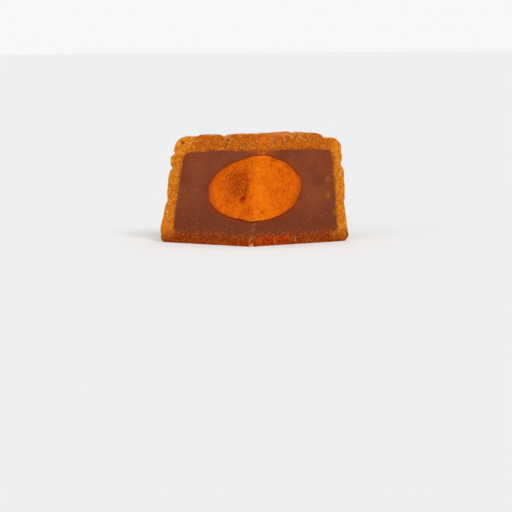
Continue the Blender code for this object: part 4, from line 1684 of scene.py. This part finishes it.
PASTE_COATS = (
    (PASTE_BROWN, specks(7.0, 5.0, 0.0, 0.3, 0.7)),
    # Painted shade: darker towards the bottom.
    (PASTE_LOW_SHADE, level(3.0, 17.0, 0.85, 0.0)),
    (PASTE_TAN, specks(0.7, 1.0, 3.0, 0.66, 0.74, 0.0, 0.7)),
    (PASTE_OILY, where("from_yolk", 0.0, 2.0, 0.6, 0.0)),
    (PASTE_CRUMB, level(3.0, 6.6, 0.85, 0.0), RUBBED_IN),
    (PASTE_CRUMB, where("from_seam", 0.0, 1.3, 0.9, 0.0), RUBBED_IN),
    # Tan crumbs with a painted highlight along the tip edge.
    (PASTE_TAN, where("from_tip", 0.2, 1.0, 0.8, 0.0), TIP_CRUMBS_AND_HIGHLIGHT),
    (PASTE_SOAKED, OVER_YOLK, where("from_tip", 1.0, 7.0, 0.8, 0.0)),
    (TIP_OILY, OVER_YOLK, where("from_tip", 0.3, 2.6, 0.9, 0.0), specks(0.9, 3.0, 25.0, 0.35, 0.6)),
    (PASTE_SMEAR, marked_as("smear"), specks(0.7, 3.0, 19.0, 0.35, 0.6, 0.3, 0.9)),
)

paste_finish = finish_in_coats(
    "lotus_paste_finish", PASTE_SOCKETS, PASTE_DEEP, PASTE_COATS, PASTE_BUMP
)
paste.data.materials.append(paste_finish)
print("paste finished, with", len(PASTE_COATS), "coats")

# %% [markdown]
# ## The yolk's finish
# A salted yolk is deep orange and oily. A highlight is painted at the blunt edge of the tip,
# and shade is painted into the hollow and the pit, which are darker and redder. Light grains
# and small painted glints lie all over it, thin red veins run through it, and round it shows
# a thin, duller skin. The veins come from one noise: they lie where it crosses its middle value.

# %% Finish the yolk
YOLK_ORANGE = screen_colour(214, 98, 0)
YOLK_DEEP = screen_colour(196, 80, 0)
YOLK_RED = screen_colour(186, 54, 0)
YOLK_SKIN = screen_colour(178, 78, 0)
YOLK_LIGHT = screen_colour(236, 140, 12)
YOLK_GLINT = screen_colour(248, 168, 60)
YOLK_HIGHLIGHT = screen_colour(224, 108, 0)
YOLK_HOLLOW_SHADE = screen_colour(152, 52, 2)
YOLK_PIT_SHADE = screen_colour(158, 32, 0)
YOLK_SOCKETS = {
    "Roughness": 0.5,
    "Specular IOR Level": 0.04,
    "Subsurface Weight": 0.25,
    "Subsurface Radius": (1.0, 0.35, 0.05),
    "Subsurface Scale": 0.8 * MM,
}
YOLK_BUMP = (0.5, 4.0, 2.0, 0.12)
VEIN_LINES = all_of(
    specks(3.2, 3.0, 24.0, 0.46, 0.5), specks(3.2, 3.0, 24.0, 0.5, 0.54, 1.0, 0.0)
)

YOLK_COATS = (
    (YOLK_ORANGE, specks(2.2, 5.0, 0.0, 0.3, 0.7)),
    # Painted highlight at the blunt edge of the tip.
    (YOLK_HIGHLIGHT, marked_as("glow"), specks(2.0, 5.0, 8.0, 0.3, 0.6, 0.3, 0.9)),
    (YOLK_RED, specks(1.6, 4.0, 4.0, 0.58, 0.7, 0.0, 0.6)),
    (YOLK_RED, marked_as("stain"), specks(0.8, 3.0, 17.0, 0.35, 0.6, 0.2, 0.9)),
    # Painted shade in the hollow of the left face.
    (YOLK_HOLLOW_SHADE, where("hollow", 0.0, 0.7, 0.0, 0.85), specks(0.9, 4.0, 15.0, 0.3, 0.6, 0.6, 1.0)),
    (YOLK_LIGHT, grains(0.34, 0.6, 1.0, 0.0, 0.45)),
    # Painted glints: tiny light specks where the oil would shine.
    (YOLK_GLINT, specks(0.5, 1.0, 23.0, 0.64, 0.76, 0.0, 0.6)),
    (YOLK_RED, VEIN_LINES, specks(3.0, 2.0, 26.0, 0.45, 0.6, 0.0, 0.7)),
    # Painted shade in the pit, redder than in the hollow.
    (YOLK_PIT_SHADE, where("pit", 0.1, 0.8, 0.0, 0.9), specks(0.8, 3.0, 20.0, 0.35, 0.6, 0.5, 1.0)),
    (YOLK_SKIN, where("from_rim", 0.3, 2.4, 0.8, 0.0)),
)

yolk_finish = finish_in_coats(
    "salted_yolk_finish", YOLK_SOCKETS, YOLK_DEEP, YOLK_COATS, YOLK_BUMP
)
yolk.data.materials.append(yolk_finish)
print("yolk finished, with", len(YOLK_COATS), "coats")

# %% [markdown]
# ## Floor and light
# The wedge stands on a plain pale table in soft, even light, as between big soft boxes in a
# white room. Broad suns do this best here: their light is the same everywhere, so the table
# stays even up to the horizon, and their wide angle keeps every shadow soft. The key on the
# right is stronger, so the hollow in the left face of the yolk lies in shade. The room is
# brightest near the horizon, where it meets the table without a line.

# %% Floor, lights and world
FLOOR_SIZE = 80.0
FLOOR_SOCKETS = {
    "Base Color": (0.86, 0.86, 0.86, 1.0),
    "Roughness": 0.7,
    "Specular IOR Level": 0.0,
}

# Suns: name, azimuth to the right of the camera, elevation, width and brightness
SUNS = (
    ("key", 28.0, 42.0, 28.0, 0.48),
    ("fill", -38.0, 28.0, 60.0, 0.23),
    ("top", 160.0, 72.0, 50.0, 0.24),
)
ROOM_HORIZON = (0.93, 0.93, 0.93, 1.0)
ROOM_CEILING = (0.3, 0.3, 0.3, 1.0)
ROOM_DIMS_FROM = 0.05
ROOM_DIMS_TO = 0.45


def add_floor():
    mesh = bmesh.new()
    bmesh.ops.create_grid(mesh, x_segments=4, y_segments=4, size=FLOOR_SIZE / 2)
    data = bpy.data.meshes.new("table_top")
    mesh.to_mesh(data)
    mesh.free()
    floor = bpy.data.objects.new("table_top", data)
    bpy.context.scene.collection.objects.link(floor)
    data.materials.append(start_finish("pale_table", FLOOR_SOCKETS)[0])
    return floor


def add_sun(name, azimuth, elevation, width, brightness):
    light = bpy.data.lights.new(name, "SUN")
    light.angle = math.radians(width)
    light.energy = brightness * math.pi
    lamp = bpy.data.objects.new(name, light)
    bpy.context.scene.collection.objects.link(lamp)
    across, up = math.radians(azimuth), math.radians(elevation)
    level = math.cos(up)
    source = Vector((math.sin(across) * level, -math.cos(across) * level, math.sin(up)))
    lamp.location = source
    lamp.rotation_mode = "QUATERNION"
    lamp.rotation_quaternion = (-source).to_track_quat("-Z", "Y")


def light_the_room():
    world = bpy.data.worlds.new("white_room")
    world.use_nodes = True
    tree = world.node_tree
    split = tree.nodes.new("ShaderNodeSeparateXYZ")
    tree.links.new(tree.nodes.new("ShaderNodeTexCoord").outputs["Generated"], split.inputs[0])
    rise = ramp(tree, split.outputs["Z"], ROOM_DIMS_FROM, ROOM_DIMS_TO, 0.0, 1.0)
    colour = mix(tree, rise, ROOM_HORIZON, ROOM_CEILING)
    tree.links.new(colour, tree.nodes["Background"].inputs["Color"])
    bpy.context.scene.world = world
    bpy.context.scene.view_settings.view_transform = "Standard"


add_floor()
for sun in SUNS:
    add_sun(*sun)
light_the_room()
print("lit by", len(SUNS), "broad suns and the room")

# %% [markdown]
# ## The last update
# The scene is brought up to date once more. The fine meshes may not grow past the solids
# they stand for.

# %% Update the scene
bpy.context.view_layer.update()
